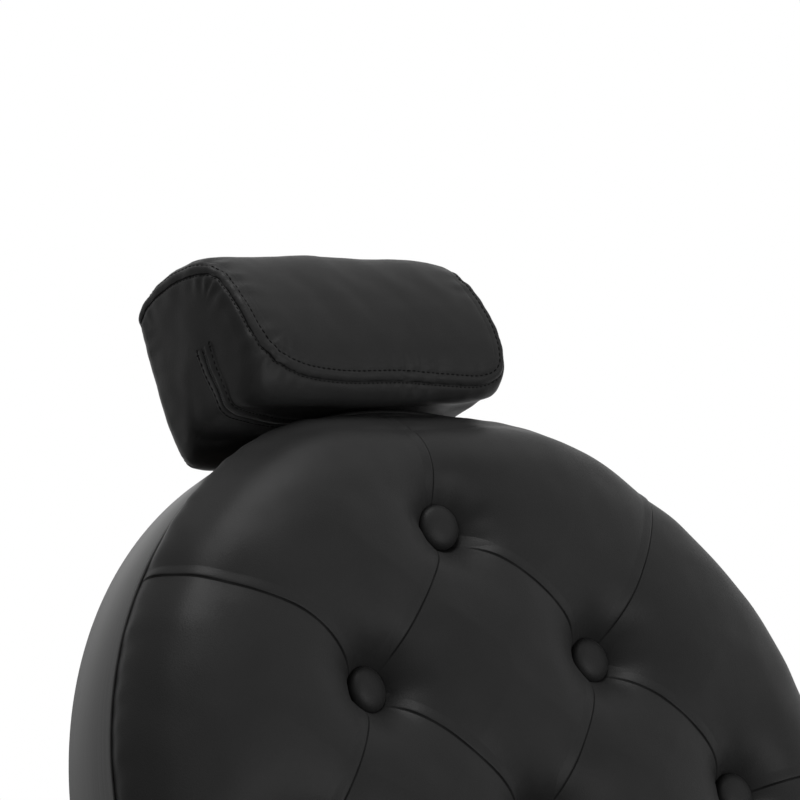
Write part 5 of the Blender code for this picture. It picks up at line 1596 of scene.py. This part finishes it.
@dataclass
class Stand:
    """Spun base cover and edge strip as smooth turned pieces."""

    cover_radius: float = 0.324
    cover_wall: float = 0.0025
    cover_rise: float = 0.022
    edge_height: float = 0.0123
    collar: float = 0.0856
    strip: float = 0.006

    def cover(self) -> bpy.types.Object:
        """Builds the chromed base cover."""
        r, e = self.cover_radius, self.edge_height
        skin = [(r, 0.0004), (r, e - 0.0045), (r - 0.0005, e - 0.0027), (r - 0.0015, e - 0.0010), (r - 0.003, e)]
        for t in np.linspace(0.04, 1.0, 26):
            skin.append((r - 0.003 + (self.collar - r + 0.003) * t, e + self.cover_rise * t**1.5))
        under = [(a - (self.cover_wall if i < 3 else 0.0), max(0.0004, b - (self.cover_wall if i > 2 else 0.0)))
                 for i, (a, b) in enumerate(skin)]
        made = lathe("base_cover_spun", skin + under[::-1], CHROME, 192)
        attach(made, Body.BASE.value)
        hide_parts("base_cover")
        return made

    def edge(self) -> bpy.types.Object:
        """Builds the rubber edge strip."""
        inner, outer, top = self.cover_radius + 0.0003, self.cover_radius + self.strip, self.edge_height - 0.005
        profile = [(inner, 0.0)] + [(outer, 0.0006), (outer, top - 0.0026)]
        for k in range(1, 5):
            a = math.pi / 2 * k / 4
            profile.append((outer - 0.0024 * (1 - math.cos(a)), top - 0.0026 + 0.0026 * math.sin(a)))
        profile.append((inner, top))
        made = lathe("base_edge_rubber", profile, RUBBER, 192)
        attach(made, Body.BASE.value)
        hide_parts("base_edge_strip")
        return made

    def build(self) -> list[bpy.types.Object]:
        """Builds the turned pieces of the stand."""
        return [self.cover(), self.edge()]


@dataclass
class SeatBand:
    """Brushed band round the seat, with softened edges."""

    half_x: float = 0.245
    half_y: float = 0.220
    wall: float = 0.0025
    low: float = 0.4005
    height: float = 0.040
    soft: float = 0.0008

    def build(self) -> list[bpy.types.Object]:
        """Builds the band and maps its brush lines along it."""
        s, w, top = self.soft, self.wall, self.low + self.height
        steps = [
            (-w, self.low + s), (-w + s, self.low), (-s, self.low), (0.0, self.low + s), (0.0, top - s), (-s, top),
            (-w + s, top), (-w, top - s),
        ]
        count = 240
        points, faces = [], []
        for offset, z in steps:
            flat = oval(self.half_x + offset, self.half_y + offset, 7.0, count)
            points += [(x, y - 0.020, z) for x, y in flat]
        for i in range(len(steps)):
            j = (i + 1) % len(steps)
            for k in range(count):
                n = (k + 1) % count
                faces.append((i * count + k, i * count + n, j * count + n, j * count + k))
        made = mesh_object("seat_band_brushed", points, faces, RIM)
        layer = made.data.uv_layers.new(name="UVMap")
        length = 4.0 * (self.half_x + self.half_y) * 0.97
        for face in made.data.polygons:
            first = min(i % count for i in face.vertices)
            wraps = first == 0 and any(i % count == count - 1 for i in face.vertices)
            for loop in face.loop_indices:
                i = made.data.loops[loop].vertex_index
                k = i % count + (count if wraps and i % count == 0 else 0)
                layer.data[loop].uv = (k / count * length, made.data.vertices[i].co.z)
        work = bmesh.new()
        work.from_mesh(made.data)
        bmesh.ops.recalc_face_normals(work, faces=work.faces)
        work.to_mesh(made.data)
        work.free()
        edge_split(made, 34.0)
        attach(made, Body.SEAT.value)
        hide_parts("seat_band")
        return [made]


@dataclass
class Rigid:
    """CAD pieces whose shape is right: eased edges, smooth rounds and a finish."""

    finishes: dict = field(
        default_factory=lambda: {
            STEEL: ("base_disc", "pump_housing", "swivel_hub", "seat_bracket", "recline_crank", "legrest_crank",
                    "legrest_link", "legrest_shaft", "back_shaft", "gas_cylinder", "back_strap_left",
                    "back_strap_right", "headrest_plate", "headrest_guide", "pump_plunger"),
            CHROME: ("ram", "pedal_lever", "pedal_pin", "headrest_bar", "recline_lever", "gas_rod", "tilt_pin",
                     "pivot_cap_left", "pivot_cap_right", "legrest_arm_left", "legrest_arm_right"),
            CAST: ("side_plate_left", "side_plate_right", "footplate"),
            RUBBER: ("pedal_pad",),
            PLY: ("seat_pan", "back_board"),
            BRONZE: ("guide_bush", "thrust_washer", "pivot_bush_left", "pivot_bush_right"),
            PLASTIC: ("clamp_knob", "lever_grip"),
        }
    )
    ease: float = 0.0008
    round_limit: float = 38.0

    def refined(self, node: str, finish: Finish, body: str) -> bpy.types.Object:
        """Makes a merged copy of a node with eased edges.

        Args:
            node: name of the CAD node.
            finish: its finish.
            body: CAD body that it rides on.

        Returns:
            The piece that stands for the node.
        """
        mesh = frame["nodes"][node].data.copy()
        mesh.name = node + "_eased"
        made = bpy.data.objects.new(node + "_eased", mesh)
        bpy.context.scene.collection.objects.link(made)
        work = bmesh.new()
        work.from_mesh(mesh)
        bmesh.ops.remove_doubles(work, verts=work.verts, dist=2e-6)
        bmesh.ops.dissolve_limit(work, angle_limit=math.radians(0.6), verts=work.verts, edges=work.edges)
        limit = math.radians(self.round_limit)
        for face in work.faces:
            face.smooth = True
        for edge in work.edges:
            edge.smooth = len(edge.link_faces) == 2 and edge.calc_face_angle(0.0) < limit
        work.to_mesh(mesh)
        work.free()
        bevel = made.modifiers.new("ease", "BEVEL")
        bevel.width = self.ease
        bevel.segments = 2
        bevel.limit_method = "ANGLE"
        bevel.angle_limit = limit
        bevel.harden_normals = True
        applied(made)
        made.data.materials.clear()
        made.data.materials.append(finish.material())
        for face in made.data.polygons:
            face.material_index = 0
        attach(made, body)
        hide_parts(node)
        return made

    def build(self) -> list[bpy.types.Object]:
        """Dresses every rigid CAD node."""
        bodies = frame["record"]["behaviour"]["bodies"]
        owner = {node: body for body, nodes in bodies.items() for node in nodes}
        made = []
        for finish, nodes in self.finishes.items():
            for node in nodes:
                made.append(self.refined(node, finish, owner[node]))
        return made


@dataclass
class Studio:
    """Plain pale floor, soft lamps and the camera at the photograph's angle."""

    eye: tuple = (-1.425, -1.208, 1.153)
    azimuth: float = -41.2
    elevation: float = 10.4
    aim_right: float = -0.0269
    aim_up: float = 0.1210
    lens: float = 156.9
    floor_size: float = 3.2
    ambient: float = 0.32

    def camera(self) -> bpy.types.Object:
        """Makes the scene's camera."""
        a, e = math.radians(self.azimuth), math.radians(self.elevation)
        back = Vector((math.sin(a) * math.cos(e), -math.cos(a) * math.cos(e), math.sin(e)))
        ahead = -back
        right = ahead.cross(Vector((0.0, 0.0, 1.0))).normalized()
        up = right.cross(ahead)
        aim = (ahead + right * self.aim_right + up * self.aim_up).normalized()
        data = bpy.data.cameras.new("photo_camera")
        data.lens = self.lens
        data.sensor_width = 36.0
        data.clip_start, data.clip_end = 0.05, 60.0
        made = bpy.data.objects.new("photo_camera", data)
        made.location = self.eye
        made.rotation_mode = "QUATERNION"
        made.rotation_quaternion = aim.to_track_quat("-Z", "Y")
        bpy.context.scene.collection.objects.link(made)
        bpy.context.scene.camera = made
        return made

    def lamp(self, name: str, place: Sequence[float], target: Sequence[float], size: Sequence[float], power: float) -> None:
        """Adds one soft box that points at a target."""
        data = bpy.data.lights.new(name, "AREA")
        data.shape = "RECTANGLE"
        data.size, data.size_y = size
        data.energy = power
        made = bpy.data.objects.new(name, data)
        made.location = place
        made.rotation_mode = "QUATERNION"
        made.rotation_quaternion = (Vector(target) - Vector(place)).to_track_quat("-Z", "Y")
        bpy.context.scene.collection.objects.link(made)

    def seen(self, graph: Graph) -> bpy.types.NodeSocket:
        """Returns 1 on rays that should meet the white background."""
        path = graph.add("ShaderNodeLightPath").outputs
        glossy = graph.math("MAXIMUM", path["Is Glossy Ray"], path["Is Transmission Ray"])
        return graph.math("MAXIMUM", path["Is Camera Ray"], glossy)

    def world(self) -> None:
        """Sets soft grey light from all round and a white background."""
        world = bpy.data.worlds.new("studio")
        bpy.context.scene.world = world
        world.use_nodes = True
        graph = Graph(world.node_tree)
        light = next(n for n in world.node_tree.nodes if n.type == "BACKGROUND")
        level = graph.range(self.seen(graph), self.ambient, 1.0)
        world.node_tree.links.new(level, light.inputs["Strength"])
        light.inputs["Color"].default_value = (1.0, 1.0, 1.0, 1.0)

    def floor(self) -> bpy.types.Object:
        """Lays a round pale floor that fades to white at its edge."""
        angle = np.linspace(0.0, 2.0 * math.pi, 96, endpoint=False)
        ring = np.stack([np.cos(angle), np.sin(angle), np.zeros(96)], axis=1) * self.floor_size
        ring[:, 2] = -0.0004
        made = mesh_object("studio_floor", ring, [tuple(range(96))])
        paint = bpy.data.materials.new("studio_floor_pale")
        paint.use_nodes = True
        graph = Graph(paint.node_tree)
        shader = next(n for n in paint.node_tree.nodes if n.type == "BSDF_PRINCIPLED")
        shader.inputs["Base Color"].default_value = (0.86, 0.86, 0.86, 1.0)
        shader.inputs["Roughness"].default_value = 0.9
        shader.inputs["Specular IOR Level"].default_value = 0.1
        place = graph.add("ShaderNodeTexCoord").outputs["Object"]
        away = graph.add("ShaderNodeVectorMath", {0: place}, operation="LENGTH").outputs["Value"]
        fade = graph.add(
            "ShaderNodeMapRange", {0: away, 1: 0.9, 2: self.floor_size * 0.9}, interpolation_type="SMOOTHSTEP"
        ).outputs[0]
        white = graph.add("ShaderNodeEmission", {"Strength": 1.0}).outputs[0]
        factor = graph.math("MULTIPLY", fade, self.seen(graph))
        mix = graph.add("ShaderNodeMixShader", {0: factor, 1: shader.outputs[0], 2: white}).outputs[0]
        out = next(n for n in paint.node_tree.nodes if n.type == "OUTPUT_MATERIAL")
        paint.node_tree.links.new(mix, out.inputs["Surface"])
        made.data.materials.append(paint)
        return made

    def build(self) -> None:
        """Sets the whole studio up."""
        bpy.context.scene.view_settings.view_transform = "Standard"
        self.world()
        self.floor()
        self.camera()
        self.lamp("overhead_box", (-0.1, 0.5, 2.9), (0.0, 0.2, 0.7), (1.0, 0.7), 34.0)
        self.lamp("front_box", (0.6, -2.3, 1.15), (0.0, 0.3, 0.75), (1.6, 1.4), 48.0)



def main() -> None:
    """Builds the studio and every sub-assembly in order."""
    logging.basicConfig(level=logging.INFO, format="%(name)s %(message)s")
    Studio().build()
    rows, spots = Repeats(Row.ALONG), Repeats(Row.AT_POINTS)
    TuftedBack().build(spots)
    Headrest().build(rows)
    seat_pad().build(rows)
    arm_pad("left", 1.0).build(rows)
    arm_pad("right", -1.0).build(rows)
    calf_pad().build(rows)
    RearPanel().build(rows)
    SeatBand().build()
    Stand().build()
    Rigid().build()


if __name__ == "__main__":
    main()
